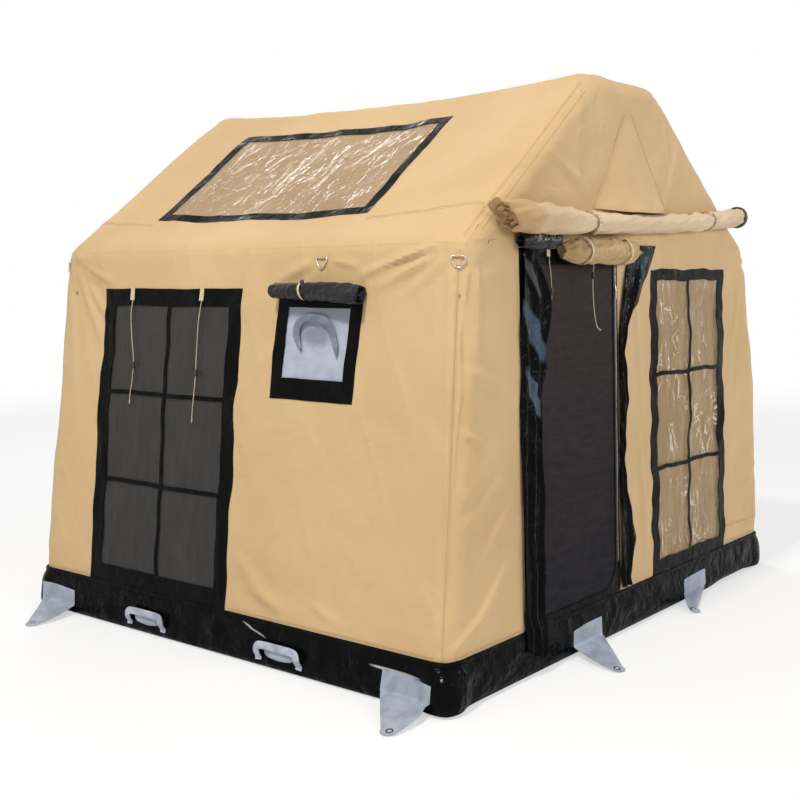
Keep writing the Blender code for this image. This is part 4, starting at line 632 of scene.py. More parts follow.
# Painted shade: the storm roll's left end is darker inside this patch.
ROLL_SHADE_PATCHES = (((-1.10, -1.33, 1.89), (0.16, 0.2, 0.2), (0.0, 0.3, 0.0), (0.46, 0.29, 0.13)),)
# A grey strip above the left front tab for its welded top edge, and a painted highlight along a crease of the
# skirt.
SKIRT_WELD_AND_GLINT_PATCHES = (
    ((-1.51, -1.05, 0.131), (0.06, 0.125, 0.0065), (0.02, 0.0, 0.0), (0.36, 0.38, 0.38)),
    ((-1.51, -0.27, 0.154), (0.06, 0.075, 0.0045), (0.30, 0.0, 0.0), (0.30, 0.31, 0.32)),
)

LOOKS = {
    "cover": canvas("cover", TAN, TAN_DARK),
    "roll": canvas("roll", (0.65, 0.50, 0.325), (0.52, 0.37, 0.215), 1.9, patches=ROLL_SHADE_PATCHES),
    "curtain": canvas("curtain", (0.47, 0.315, 0.15), (0.36, 0.23, 0.105), 1.2),
    "seam": stitched("seam", (0.57, 0.385, 0.19), (0.33, 0.21, 0.10)),
    "skirt": gloss("skirt", BLACK, BLACK_HAZE, 1.2, (0.06, 0.24), 13.0, SKIRT_WELD_AND_GLINT_PATCHES),
    "trim": gloss("trim", BLACK, BLACK_HAZE, 0.5, (0.16, 0.36), 15.0),
    "flap": gloss("flap", BLACK, BLACK_HAZE, 1.0, (0.08, 0.24), 20.0, FLAP_SHEEN_PATCHES),
    "crumpled": gloss("crumpled", BLACK, (0.006, 0.005, 0.006), 0.45, (0.08, 0.2), 14.0, (), 0.6),
    "beam": gloss("beam", (0.035, 0.036, 0.040), (0.07, 0.07, 0.08), 0.6, (0.35, 0.5), 12.0),
    "floor": gloss("floor", (0.016, 0.017, 0.019), (0.05, 0.05, 0.05), 0.8, (0.4, 0.6), 9.0),
    "door_net": net("door_net", (0.027, 0.019, 0.018), (0.007, 0.008, 0.013), (0.25, 1.6), 0.92,
                    ripple=(1, 1, 5)),
    "window_net": net("window_net", (0.034, 0.031, 0.028), (0.030, 0.028, 0.027), (0.3, 1.5), 0.95,
                      shine=0.25, ripple=(1, 4, 1)),
    "vent_net": net("vent_net", (0.05, 0.045, 0.04), (0.04, 0.04, 0.04), (1.9, 2.4), 0.6),
    # The second colour of each film is its painted glint lines, and the last pair is its opacity off and on
    # those lines.
    "film": film("film", (0.46, 0.31, 0.15), (0.84, 0.74, 0.56), 1.3, (1, 1, 0.42), (0.22, 0.8)),
    "sky_film": film("sky_film", (0.50, 0.36, 0.21), (0.80, 0.70, 0.54), 0.8, (1.0, 1.5, 0.8), (0.20, 0.38)),
    "panel": moulded("panel", (0.40, 0.43, 0.50), (0.32, 0.35, 0.42), 160.0, (0.5, 0.65), PANEL_SHADE_PATCHES),
    "sleeve": moulded("sleeve", (0.19, 0.205, 0.26), (0.10, 0.11, 0.15), 200.0, (0.5, 0.65)),
    "tab": moulded("tab", GREY, GREY_DARK, 300.0),
    "handle": moulded("handle", (0.44, 0.48, 0.55), GREY_DARK, 420.0, (0.35, 0.5)),
    "strap": webbing("strap", CREAM, (0.50, 0.39, 0.25)),
    "cord": webbing("cord", (0.70, 0.58, 0.40), (0.42, 0.33, 0.21), 0.003),
    "lock": moulded("lock", (0.012, 0.012, 0.013), (0.03, 0.03, 0.03), 500.0),
    "valve": moulded("valve", (0.09, 0.09, 0.10), (0.05, 0.05, 0.055), 500.0),
    "metal": steel("metal"),
}


# Meshes

STRAP_WIDTH = 0.025
ACROSS_STRIP = np.array((-1.0, -0.4, 0.4, 1.0))


def add_piece(name, points, faces, look, body="tent", stands_for=(), lay=None, sharp=40.0):
    """One object from points and faces, smooth but for its sharp edges, riding on a body."""
    used, index = np.unique(np.concatenate([np.ravel(face) for face in faces]), return_inverse=True)
    points = np.reshape(points, (-1, 3))[used]
    counts = [len(face) for face in faces]
    ends = np.cumsum(counts)
    mesh = bpy.data.meshes.new(name)
    mesh.from_pydata(points.tolist(), [], [part.tolist() for part in np.split(index, ends[:-1])])
    builder = bmesh.new()
    builder.from_mesh(mesh)
    bmesh.ops.recalc_face_normals(builder, faces=builder.faces)
    sum(face.calc_area() for face in builder.faces) / 2
    builder.to_mesh(mesh)
    builder.free()
    if lay is not None:
        mesh.attributes.new("lay", "FLOAT_VECTOR", "POINT").data.foreach_set("vector", lay[used].ravel())
    mesh.shade_smooth()
    mesh.set_sharp_from_angle(angle=math.radians(sharp))
    mesh.materials.append(LOOKS[look])
    made = bpy.data.objects.new(name, mesh)
    bpy.context.scene.collection.objects.link(made)
    if body:
        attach(made, body)
    if stands_for:
        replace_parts(made, *stands_for)
    return made


def stacked(*layers):
    """The points of several grids, one after the other."""
    return np.concatenate([np.reshape(layer, (-1, 3)) for layer in layers])


def slab_faces(rows, columns, skip=(), start=0):
    """Faces of a sheet between two grids of points, outer then inner, without the cells in skip."""
    keep = np.ones((rows - 1, columns - 1), bool)
    for cell in skip:
        keep[cell] = False
    ids = np.arange(rows * columns).reshape(rows, columns) + start
    under = rows * columns
    corners = [ids[:-1, :-1], ids[:-1, 1:], ids[1:, 1:], ids[1:, :-1]]
    quads = np.stack([corner[keep] for corner in corners], -1)
    found = [*quads, *(quads[:, ::-1] + under)]
    edged = np.pad(keep, 1)
    beside = [edged[:-2, 1:-1], edged[1:-1, 2:], edged[2:, 1:-1], edged[1:-1, :-2]]
    for index, near in enumerate(beside):
        rim = keep & ~near
        first = corners[index][rim]
        second = corners[(index + 1) % 4][rim]
        found += [*np.stack((second, first, first + under, second + under), -1)]
    return found


def spread(stops, step):
    """Stops with more places between them, no further apart than a step."""
    places = [stops[0]]
    for low, high in zip(stops, stops[1:]):
        count = max(1, math.ceil((high - low) / step - 1e-6))
        places += [low + (high - low) * share / count for share in range(1, count)] + [high]
    return places


class Grid:
    """Places on one face. Stops are marked lines, fixed or worked out for each level, and marked rows."""

    def __init__(self, face, stops, rows, step):
        self.face = face
        self.stops = stops if callable(stops) else lambda level: stops
        self.marks = rows
        self.rows = spread(rows, step)
        middle = self.stops(rows[0])
        counts = [max(1, math.ceil((b - a) / step - 1e-6)) for a, b in zip(middle, middle[1:])]
        self.index = np.concatenate(([0], np.cumsum(counts)))
        places = np.arange(self.index[-1] + 1)
        spots = [np.interp(places, self.index, self.stops(level)) for level in self.rows]
        self.across = np.array(spots)
        self.level = np.repeat(np.array(self.rows)[:, None], len(places), axis=1)

    def cells(self, left, right, low, high):
        """Cells between two marked lines and two marked rows, given by their numbers."""
        rows = range(self.rows.index(self.marks[low]), self.rows.index(self.marks[high]))
        return set(itertools.product(rows, range(self.index[left], self.index[right])))


def add_panel(name, grid, low, high, look, skip=(), warp=None, **more):
    """A sheet on a grid between two heights off the cover's outer face, each a number or a function."""
    across, level = grid.across, grid.level
    if warp is not None:
        across, level = warp(across, level)
    points = grid.face(across, level)
    heights = [value(across, level) if callable(value) else value for value in (high, low)]
    outer, inner = (skin(points, height) for height in heights)
    rows, columns = across.shape
    lay = np.stack((across, level, np.zeros_like(level)), -1)
    made = add_piece(name, stacked(outer, inner), slab_faces(rows, columns, skip), look,
                     lay=stacked(lay, lay), **more)
    return made


def add_pane(name, grid, lie, thick, look, **more):
    """A sheet of one thickness under its outer face, which is a function."""
    return add_panel(name, grid, lambda across, level: lie(across, level) - thick, lie, look, **more)


def add_strap(name, face, place, ends):
    grid = Grid(face, [place - STRAP_WIDTH / 2, place + STRAP_WIDTH / 2], ends, 0.006)
    strap = add_panel(name, grid, TRIM[1] + GAP, TRIM[1] + 0.0022, "strap")
    declare(strap)


def drawn_in(ends, by):
    """The two ends of a span, moved towards each other."""
    return [ends[0] + by, ends[1] - by]


def declare(piece):
    """Returns the piece as it is."""
    return piece


def ring_faces(rings, count, closed=False):
    """Faces of a loft through rings of points, closed on itself or capped at its ends."""
    ids = np.arange(rings * count).reshape(rings, count)
    if closed:
        ids = np.concatenate((ids, ids[:1]))
    after = np.roll(ids, -1, axis=1)
    found = [*np.stack((ids[:-1], after[:-1], after[1:], ids[1:]), -1).reshape(-1, 4)]
    if not closed:
        found += [ids[0], ids[-1][::-1]]
    return found


def sweep_rings(path, section, side, closed):
    """Copies of a section along a path. The section's first axis is side."""
    path = np.asarray(path, dtype=float)
    back = np.roll(path, 1, axis=0)
    on = np.roll(path, -1, axis=0)
    if not closed:
        back[0] = 2 * path[0] - path[1]
        on[-1] = 2 * path[-1] - path[-2]
    rings = []
    for index, point in enumerate(path):
        ahead = unit(unit(point - back[index]) + unit(on[index] - point))
        first = unit(side - ahead * (ahead @ side))
        second = np.cross(ahead, first)
        shape = np.asarray(section(index) if callable(section) else section)
        rings.append(point + shape[:, :1] * first + shape[:, 1:] * second)
    return np.array(rings)


def add_sweep(name, path, section, side, look, closed=False, **more):
    rings = sweep_rings(path, section, side, closed)
    return add_piece(name, rings, ring_faces(*rings.shape[:2], closed), look, **more)


def all_round(sides):
    return np.arange(sides) * math.tau / sides


def circle(radius, sides):
    """A circle, or with a radius for each side a lumpy one."""
    turns = all_round(sides)
    return np.stack((radius * np.cos(turns), radius * np.sin(turns)), -1)


def bent(path, radius, steps, closed=False):
    """A path with each of its corners rounded."""
    path = [np.asarray(point, dtype=float) for point in path]
    rounded = [] if closed else [path[0]]
    for index in range(len(path)) if closed else range(1, len(path) - 1):
        point = path[index]
        back = unit(path[index - 1] - point)
        on = unit(path[(index + 1) % len(path)] - point)
        turn = math.pi - math.acos(back @ on)
        reach = radius * math.tan(turn / 2)
        centre = point + unit(back + on) * radius / math.cos(turn / 2)
        start = point + back * reach - centre
        finish = point + on * reach - centre
        for step in range(steps + 1):
            share = step / steps
            arm = start * math.sin(turn * (1 - share)) + finish * math.sin(turn * share)
            rounded.append(centre + arm / math.sin(turn))
    return rounded if closed else [*rounded, path[-1]]


def flowing(points, steps):
    """A smooth curve through points, as a Catmull-Rom spline."""
    points = [np.asarray(point, dtype=float) for point in points]
    padded = [2 * points[0] - points[1], *points, 2 * points[-1] - points[-2]]
    route = []
    for a, b, c, d in zip(padded, padded[1:], padded[2:], padded[3:]):
        for step in range(steps):
            t = step / steps
            pull = (c - a) * t + (2 * a - 5 * b + 4 * c - d) * t ** 2 + (3 * b - a - 3 * c + d) * t ** 3
            route.append(b + pull / 2)
    return np.array([*route, points[-1]])


# Cords and their locks, on the routes of the CAD source

CORD_DIAMETER = 0.004
LOCK_RADIUS = 0.008
WINDOW_CORD_REAR = (
    (0.68, 0.2344, 0.0045), (0.681, 0.26, 0.0075), (0.68, 0.31, 0.010), (0.664, 0.41, 0.0105),
    (0.645, 0.49, 0.0115), (0.637, 0.531, 0.0125), (0.636, 0.561, 0.0125), (0.64, 0.62, 0.0105),
    (0.65, 0.68, 0.0085), (0.651, 0.73, 0.0075),
)
WINDOW_CORD_FRONT = (
    (0.185, 0.2344, 0.0045), (0.185, 0.26, 0.0075), (0.188, 0.33, 0.010), (0.192, 0.42, 0.0105),
    (0.191, 0.5, 0.0115), (0.186, 0.548, 0.0125), (0.185, 0.578, 0.0125), (0.189, 0.65, 0.0105),
    (0.198, 0.73, 0.0085), (0.20, 0.79, 0.0075),
)
DOOR_CORD_RIGHT = (
    (-0.442, 0.0837, 0.0510), (-0.444, 0.1, 0.0506), (-0.447, 0.125, 0.0499), (-0.449, 0.155, 0.0491),
    (-0.449, 0.19, 0.0482), (-0.444, 0.24, 0.047), (-0.434, 0.3, 0.0454), (-0.416, 0.35, 0.0441),
    (-0.395, 0.37, 0.0436), (-0.375, 0.377, 0.0434),
)
DOOR_CORD_LEFT = (
    (-0.733, 0.0553, 0.0045), (-0.734, 0.08, 0.0075), (-0.732, 0.11, 0.0105), (-0.728, 0.15, 0.0115),
    (-0.726, 0.188, 0.012), (-0.726, 0.218, 0.012), (-0.728, 0.24, 0.0115), (-0.732, 0.26, 0.0105),
)

# Cords: name, face, route as (across, drop below the eave, lift), and the span that carries the lock
CORDS = (
    ("window_rear", LEFT, WINDOW_CORD_REAR, 5),
    ("window_front", LEFT, WINDOW_CORD_FRONT, 5),
    ("door_right", FRONT, DOOR_CORD_RIGHT, 2),
    ("door_left", FRONT, DOOR_CORD_LEFT, 4),
)
CORD_STEPS = 4
LOCK_SWELLS = (0.72, 0.95, 1.0, 0.95, 0.72)
KNOT_RADIUS = 0.0022


def add_cords():
    for name, face, spots, span in CORDS:
        places = [face(across, EAVE_HEIGHT - drop) for across, drop, _ in spots]
        route = flowing(skin(places, np.array([lift for _, _, lift in spots])), CORD_STEPS)
        curve = bpy.data.curves.new(f"{name}_rope", "CURVE")
        curve.dimensions = "3D"
        curve.bevel_depth = CORD_DIAMETER / 2
        curve.bevel_resolution = 3
        curve.use_fill_caps = True
        curve.materials.append(LOOKS["cord"])
        spline = curve.splines.new("POLY")
        spline.points.add(len(route) - 1)
        for point, place in zip(spline.points, route):
            point.co = (*place, 1.0)
        rope = bpy.data.objects.new(f"{name}_rope", curve)
        bpy.context.scene.collection.objects.link(rope)
        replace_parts(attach(rope, "tent"), f"{name}_cord")

        held = route[span * CORD_STEPS:(span + 1) * CORD_STEPS + 1]
        sections = [circle(LOCK_RADIUS * swell, 20) for swell in LOCK_SWELLS]
        side = unit(np.cross(held[-1] - held[0], (1.0, 1.0, 0.0)))
        lock = add_sweep(f"{name}_toggle", held, lambda index: sections[index], side, "lock",
                         stands_for=(f"{name}_cord_lock",))
        down = unit(route[-1] - route[-2])
        aside = unit(np.cross(down, (0.3, 0.5, 0.1)))
        other = np.cross(down, aside)
        loop = [route[-2] + (aside * math.cos(turn) + other * math.sin(turn)) * KNOT_RADIUS
                + down * 0.002 * math.sin(2 * turn) for turn in all_round(12)]
        knot = add_sweep(f"{name}_knot", loop, circle(KNOT_RADIUS, 10), down, "cord", closed=True)


add_cords()


# Frame of air beams

BASE_Z = 0.0033 + BEAM_RADIUS
BEAM_SIDES = 32


def meet(*ways):
    """The point where three planes of the core meet. Each is picked by the direction that it faces."""
    picked = [int(np.argmax(NORMALS @ unit(way))) for way in ways]
    return np.linalg.solve(NORMALS[picked], CORE_OFFSETS[picked])


def arch_path(end):
    half = []
    for side in (-1, 1):
        eave = meet((side, 0.0, 0.0), (0.0, end, 0.0), (side, 0.0, SLOPE_UP))
        ridge = meet((0.0, end, GABLE_LEAN / ROOF_RISE), (side, 0.0, SLOPE_UP), (0.0, 0.0, 1.0))
        down = np.array((side * SIDE_LEAN, end * FRONT_LEAN, -EAVE_HEIGHT)) / EAVE_HEIGHT
        half.append([eave + down * (eave[2] - BASE_Z), eave, ridge])
    left, right = half
    return bent([*left, *reversed(right)], 0.13, 10)


def fill_path(path, step):
    """A path with more points on its long runs."""
    full = [path[0]]
    for first, last in zip(path, path[1:]):
        count = max(1, math.ceil(np.linalg.norm(last - first) / step))
        full += [first + (last - first) * share / count for share in range(1, count + 1)]
    return np.array(full)


def add_beams():
    """The inflated tubes. Each is a little uneven, and all but the base have a welded seam along them."""
    turns = all_round(BEAM_SIDES)
    up = np.array((0.0, 0.0, 1.0))

    def tube(name, path, side, node):
        path = fill_path(path, 0.05)
        seam = 0.0012 * np.exp(-((turns - 1.6) / 0.12) ** 2)
        swells = [1 - 0.006 * (1 + np.sin(9 * point.sum() + 3 * turns)) for point in path]
        rings = [circle(BEAM_RADIUS * swell + seam, BEAM_SIDES) for swell in swells]
        made = add_sweep(name, path, lambda index: rings[index], side, "beam", stands_for=(node,))

    feet = [arch_path(-1)[0], arch_path(-1)[-1], arch_path(1)[-1], arch_path(1)[0]]
    loop = bent(feet, 0.10, 8, closed=True)
    ring = [point for start, stop in zip(loop, [*loop[1:], loop[0]])
            for point in fill_path([start, stop], 0.05)[:-1]]
    section = circle(BEAM_RADIUS * (1 - 0.004 * (1 + np.sin(3 * turns))), BEAM_SIDES)
    base = add_sweep("base_tube", ring, section, up, "beam", True, stands_for=("base_beam",))
    along = np.array((0.0, 1.0, 0.0))
    tube("front_arch_tube", arch_path(-1), along, "front_arch_beam")
    tube("rear_arch_tube", arch_path(1), along, "rear_arch_beam")
    for side, name in ((-1, "left"), (1, "right")):
        ends = [meet((side, 0.0, 0.0), (0.0, end, 0.0), (side, 0.0, SLOPE_UP)) for end in (-1, 1)]
        tube(f"eave_tube_{name}", ends, up, f"eave_beam_{name}")
    reach = float(half_length(RIDGE_HEIGHT)) - EDGE_ROUND
    top = RIDGE_HEIGHT - EDGE_ROUND - 0.004
    line = [np.array((0.0, y, top - float(sag(y, RIDGE_HEIGHT)))) for y in np.linspace(-reach, reach, 30)]
    tube("ridge_tube", line, np.array((1.0, 0.0, 0.0)), "ridge_beam")


# Skirt and floor

SKIRT_BULGE = 0.012
FLOOR_RINGS = 39
WELT = (0.178, 0.198)

# Anchor tabs: name, face, place along it, and how far the tongue leans and reaches
TABS = (
    ("front_left", FRONT, -0.47, -0.16, 0.27), ("front_right", FRONT, 0.62, -0.25, 0.15),
    ("rear_right", REAR, 0.47, 0.11, 0.27), ("rear_left", REAR, -0.62, 0.11, 0.27),
    ("left_front", LEFT, -1.11, -0.11, 0.27), ("left_rear", LEFT, 1.11, -0.11, 0.27),
    ("right_front", RIGHT, -1.11, 0.11, 0.27), ("right_rear", RIGHT, 1.11, 0.11, 0.27),
)
HANDLES = tuple((f"{side}_{end}", face, y) for side, face in (("left", LEFT), ("right", RIGHT))
                for end, y in (("front", -0.43), ("rear", 0.43)))
CRINKLE = waves(22, 0.07, 0.22)
CRUMPLE = waves(26, 0.03, 0.08)


def quiet(points):
    """0 where a tab or a handle sits on the skirt, and 1 away from them."""
    calm = np.ones(len(points))
    for _, face, middle, *_ in (*TABS, *HANDLES):
        away = np.linalg.norm((points - face(middle, 0.08))[:, :2], axis=1)
        calm *= smooth(away, 0.14, 0.24)
    return calm


def corner_swell(points):
    """How far the skirt's corners stand out."""
    away = np.hypot(np.abs(points[..., 0]) - 1.50, np.abs(points[..., 1]) - 1.295)
    nearest = (points[..., 0] < 0) & (points[..., 1] < 0)
    return np.where(nearest, 0.050, 0.018) * np.exp(-(away / 0.085) ** 2)


def skirt_height(points, level):
    """How far the skirt stands off the cover's plane: a soft roll, crinkled, and fuller at its corners."""
    rise = np.interp(level, (0.008, 0.020, 0.034, 0.055, 0.145, 0.168, 0.185, 0.1997),
                     (0.0, 0.0075, 0.0115, 0.0122, 0.0122, 0.0112, 0.0070, 0.0006))
    belly = np.sin(np.pi * np.clip((level - 0.008) / 0.185, 0, 1))
    calm = quiet(points)
    rough = 0.0034 * ripples(points, CRINKLE) + 0.0022 * creases(points, CRUMPLE)
    fuller = corner_swell(points) * (1 - smooth(level, 0.12, 0.2))
    fold = np.exp(-(((points[:, 1] + 0.27) * 0.3 + (level - 0.155)) / 0.008) ** 2)
    fold *= (np.abs(points[:, 1] + 0.27) < 0.09) * (points[:, 0] < 0)
    return rise + belly * calm * rough + fuller + 0.006 * fold


def perimeter(level):
    """Points all the way round the walls, close together over the rounded corners."""
    bend = np.linspace(0, EDGE_ROUND, 12)

    def run(half):
        outer = -half + bend
        count = math.ceil(2 * (half - EDGE_ROUND) / 0.02)
        inner = np.linspace(-half + EDGE_ROUND, half - EDGE_ROUND, count + 1)[1:-1]
        return np.concatenate((outer, inner, -outer[::-1]))[:-1]

    wide = float(half_width(level))
    long = float(half_length(level))
    wide_run = run(TENT_WIDTH / 2) * wide / (TENT_WIDTH / 2)
    long_run = run(TENT_LENGTH / 2) * long / (TENT_LENGTH / 2)
    front = [(x, -long, level) for x in wide_run]
    right = [(wide, y, level) for y in long_run]
    rear = [(-x, long, level) for x in wide_run]
    left = [(-wide, -y, level) for y in long_run]
    return np.array(front + right + rear + left)


def add_floor():
    """The skirt, whose lower edge turns in under the base beam, and the groundsheet inside it."""
    top = SKIRT_HEIGHT - GAP
    outside = [0.008, *np.linspace(0.013, 0.19, 22), 0.194, 0.1975, top]
    rings = []
    for level in reversed(outside):
        points = perimeter(level)
        rings.append(skin(points, skirt_height(points, level)))
    for level, height in ((0.0, -0.014), (0.0, -0.032), (0.003, -0.032), (0.003, -0.014)):
        ring = skin(perimeter(0.001), height)
        ring[:, 2] = level
        rings.append(ring)
    for level in (0.0095, *np.linspace(0.013, 0.19, 12), top):
        points = perimeter(level)
        rings.append(skin(points, skirt_height(points, level) - 0.003))
    rings = np.array(rings)
    lift = 0.014 * smooth(rings[..., 0], 0.80, 1.0) * (1 - smooth(rings[..., 0], 1.25, 1.42))
    lift *= (rings[..., 1] < -1.1) * (1 - smooth(rings[..., 2], 0.02, 0.12))
    rings[..., 2] += lift
    faces = ring_faces(*rings.shape[:2], closed=True)
    skirt = add_piece("skirt_cloth", rings, faces, "skirt", stands_for=("ground_skirt",))

    band = []
    for height, rise in ((-0.002, 0.0), (0.0016, 0.2), (0.0016, 0.8), (-0.002, 1.0)):
        points = perimeter(WELT[0] + (WELT[1] - WELT[0]) * rise)
        band.append(skin(points, skirt_height(points, WELT[0]) + height))
    band = np.array(band)
    welt = add_piece("skirt_welt", band, ring_faces(*band.shape[:2], closed=True), "trim")
    declare(skirt)

    edge = skin(perimeter(0.001), -0.0323)
    edge[:, 2] = 0.0
    layers = []
    for height in (0.003, 0.0):
        for share in np.linspace(1.0, 0.0, FLOOR_RINGS + 1)[:-1]:
            layer = edge * (share, share, 1.0)
            bulge = 0.0022 * np.abs(ripples(layer, MIDDLE)) * min(1.0, (1 - share) * 8)
            layer[:, 2] = height + bulge * (height > 0)
            layers.append(layer)
    rings = np.array([*reversed(layers[:FLOOR_RINGS]), *layers[FLOOR_RINGS:]])
    floor = add_piece("floor_sheet", rings, ring_faces(*rings.shape[:2]), "floor",
                      stands_for=("groundsheet",))
    declare(floor)


# Cover

def side_stops(*marks):
    def stops(level):
        full = float(half_length(level)) - INSET
        return [-full, -full + EDGE_ROUND, *marks, full - EDGE_ROUND, full]
    return stops


SIDE_WINDOW = (-0.072, 0.892)
SIDE_WINDOW_TOP = 1.606
PORT = (-0.753, -0.287)
PORT_LOW = 1.142
PORT_HIGH = 1.59
SKYLIGHT = (-0.58, 0.785)
SKYLIGHT_LOW = 1.958
SKYLIGHT_HIGH = 2.42
DOOR = (-0.952, -0.15)
DOOR_TOP = 1.765
FRONT_WINDOW = (0.175, 1.004)
FRONT_WINDOW_TOP = 1.678
VENT_TOP = EAVE_HEIGHT + ROOF_RISE * 0.795
VENT_LOW = 1.945
VENT_HALF = 0.35
VENT_PEAK = 0.03
VENT_TALL = VENT_TOP - VENT_LOW
VENT_HOLE = (VENT_LOW + VENT_TALL * 0.112, VENT_LOW + VENT_TALL * 0.826)
WALL_STEP = 0.0115


def front_stops(level):
    """Marked lines of the front end: its door and window, which give way to the vent in the gable."""
    wide = math.hypot(1, SLOPE_UP) if level > EAVE_HEIGHT else 1.0
    full = float(half_width(level)) - INSET * wide
    inner = full - EDGE_ROUND * wide
    wall = (DOOR[0] + LAP, DOOR[1] - LAP, FRONT_WINDOW[0] + LAP, FRONT_WINDOW[1] - LAP)
    vent = np.interp(level, VENT_HOLE, (VENT_HALF * 0.714, VENT_PEAK * 0.714))
    above = (-(vent + (inner - vent) * 0.55), -vent, vent, vent + (inner - vent) * 0.55)
    share = float(smooth(level, EAVE_HEIGHT + 0.02, 1.975))
    marks = [a + (b - a) * share for a, b in zip(wall, above)]
    limit = inner - 0.004
    marks = [max(-limit, min(limit, mark)) for mark in marks]
    return [-full, -inner, *marks, inner, full]


def gable_marks(*levels):
    slope = EDGE_ROUND / math.hypot(1, SLOPE_UP)
    wall = [SKIRT_HEIGHT, *[level for level in levels if level < EAVE_HEIGHT - EDGE_ROUND]]
    high = [level for level in levels if level > EAVE_HEIGHT]
    upper = [EAVE_HEIGHT + slope, *high, RIDGE_HEIGHT - slope, RIDGE_HEIGHT - INSET]
    return sorted({*wall, *[level for level in levels if level <= EAVE_HEIGHT], EAVE_HEIGHT, *upper})


def add_cover():
    top = EAVE_HEIGHT - INSET
    window = (SIDE_WINDOW[0] + LAP, SIDE_WINDOW[1] - LAP)
    port = (PORT[0] + LAP, PORT[1] - LAP)
    marks = [SKIRT_HEIGHT, PORT_LOW + LAP, SIDE_WINDOW_TOP - LAP, PORT_HIGH - LAP, top]
    grid = Grid(LEFT, side_stops(*port, *window), marks, WALL_STEP)
    skip = grid.cells(4, 5, 0, 2) | grid.cells(2, 3, 1, 3)
    left = add_panel("side_cover_left", grid, *COVER, "cover", skip, stands_for=("side_wall_left",))
    grid = Grid(RIGHT, side_stops(), [SKIRT_HEIGHT, top], 0.022)
    right = add_panel("side_cover_right", grid, *COVER, "cover", stands_for=("side_wall_right",))

    # The roof is one sheet over both slopes and the strip along the ridge
    light = (SKYLIGHT[0] + LAP, SKYLIGHT[1] - LAP)
    marks = [EAVE_HEIGHT + INSET, SKYLIGHT_LOW + LAP, SKYLIGHT_HIGH - LAP, RIDGE_HEIGHT - INSET]
    grid = Grid(LEFT, side_stops(*light), marks, 0.016)
    skip = grid.cells(2, 3, 1, 2)
    slopes = [face(grid.across, grid.level) for face in (LEFT, RIGHT)]
    strip = np.linspace(-RIDGE_FLAT / 2, RIDGE_FLAT / 2, 30)[1:-1]
    lines = grid.across[-1]
    flat = np.array([[(x, y, RIDGE_HEIGHT) for y in lines] for x in strip])
    points = np.concatenate((slopes[0], flat, slopes[1][::-1]))
    outer = skin(points, COVER[1])
    inner = skin(points, COVER[0])
    roof = add_piece("roof_cover", stacked(outer, inner), slab_faces(*points.shape[:2], skip), "cover",
                     stands_for=("roof",))

    marks = gable_marks(FRONT_WINDOW_TOP - LAP, DOOR_TOP - LAP, *VENT_HOLE)
    grid = Grid(FRONT, front_stops, marks, WALL_STEP)
    door_row = marks.index(DOOR_TOP - LAP)
    window_row = marks.index(FRONT_WINDOW_TOP - LAP)
    holes = [marks.index(level) for level in VENT_HOLE]
    skip = grid.cells(2, 3, 0, door_row) | grid.cells(4, 5, 0, window_row) | grid.cells(3, 4, *holes)
    front = add_panel("front_cover", grid, *COVER, "cover", skip, stands_for=("front_wall",))
    grid = Grid(REAR, lambda level: [front_stops(level)[index] for index in (0, 1, 6, 7)],
                gable_marks(), 0.022)
    rear = add_panel("rear_cover", grid, *COVER, "cover", stands_for=("rear_wall",))
    add_seams({"left": left, "right": right, "roof": roof, "front": front, "rear": rear})


SEAM_STEP = 0.012
SEAM_WIDE = 0.016
SEAM_THIN = 0.014
FOOT_SEAM = SKIRT_HEIGHT + 0.012


def seam_rows(face, line, levels, width):
    """A narrow strip up a face: line gives its middle at each level."""
    points = [[face(line(level) + side * width / 2, level) for side in ACROSS_STRIP] for level in levels]
    return np.array(points), np.array(levels)


def edge_strip(side, end, levels, width):
    """A strip folded over an upright or sloping edge of the house."""
    rows = []
    for level in levels:
        wide, long = float(half_width(level)), float(half_length(level))
        rows.append([(side * (wide - back), end * (long - along), level)
                     for back, along in ((0.0, width), (0.0, width / 3), (width / 3, 0.0), (width, 0.0))])
    return np.array(rows), np.array(levels)


def seam_line(face, level, ends, width):
    """A narrow level strip along a face."""
    places = spread(list(ends), SEAM_STEP)
    points = [[face(place, level + side * width / 2) for side in ACROSS_STRIP] for place in places]
    return np.array(points), np.array(places)


def add_strips(name, strips, look="seam", layer=SEAM):
    """Several narrow strips as one piece, each with its stitches laid along it."""
    points, faces, lay = [], [], []
    start = 0
    for grid, along in strips:
        for height in (layer[1] - 0.0005 * np.abs(ACROSS_STRIP), layer[0] + 0 * ACROSS_STRIP):
            points.append(skin(grid, np.broadcast_to(height, grid.shape[:2])))
        rows, columns = grid.shape[:2]
        faces += slab_faces(rows, columns, start=start)
        start += 2 * rows * columns
        spot = np.stack(np.broadcast_arrays(along[:, None], ACROSS_STRIP, 0.0), -1)
        lay += [spot, spot]
    return add_piece(name, stacked(*points), faces, look, lay=stacked(*lay))


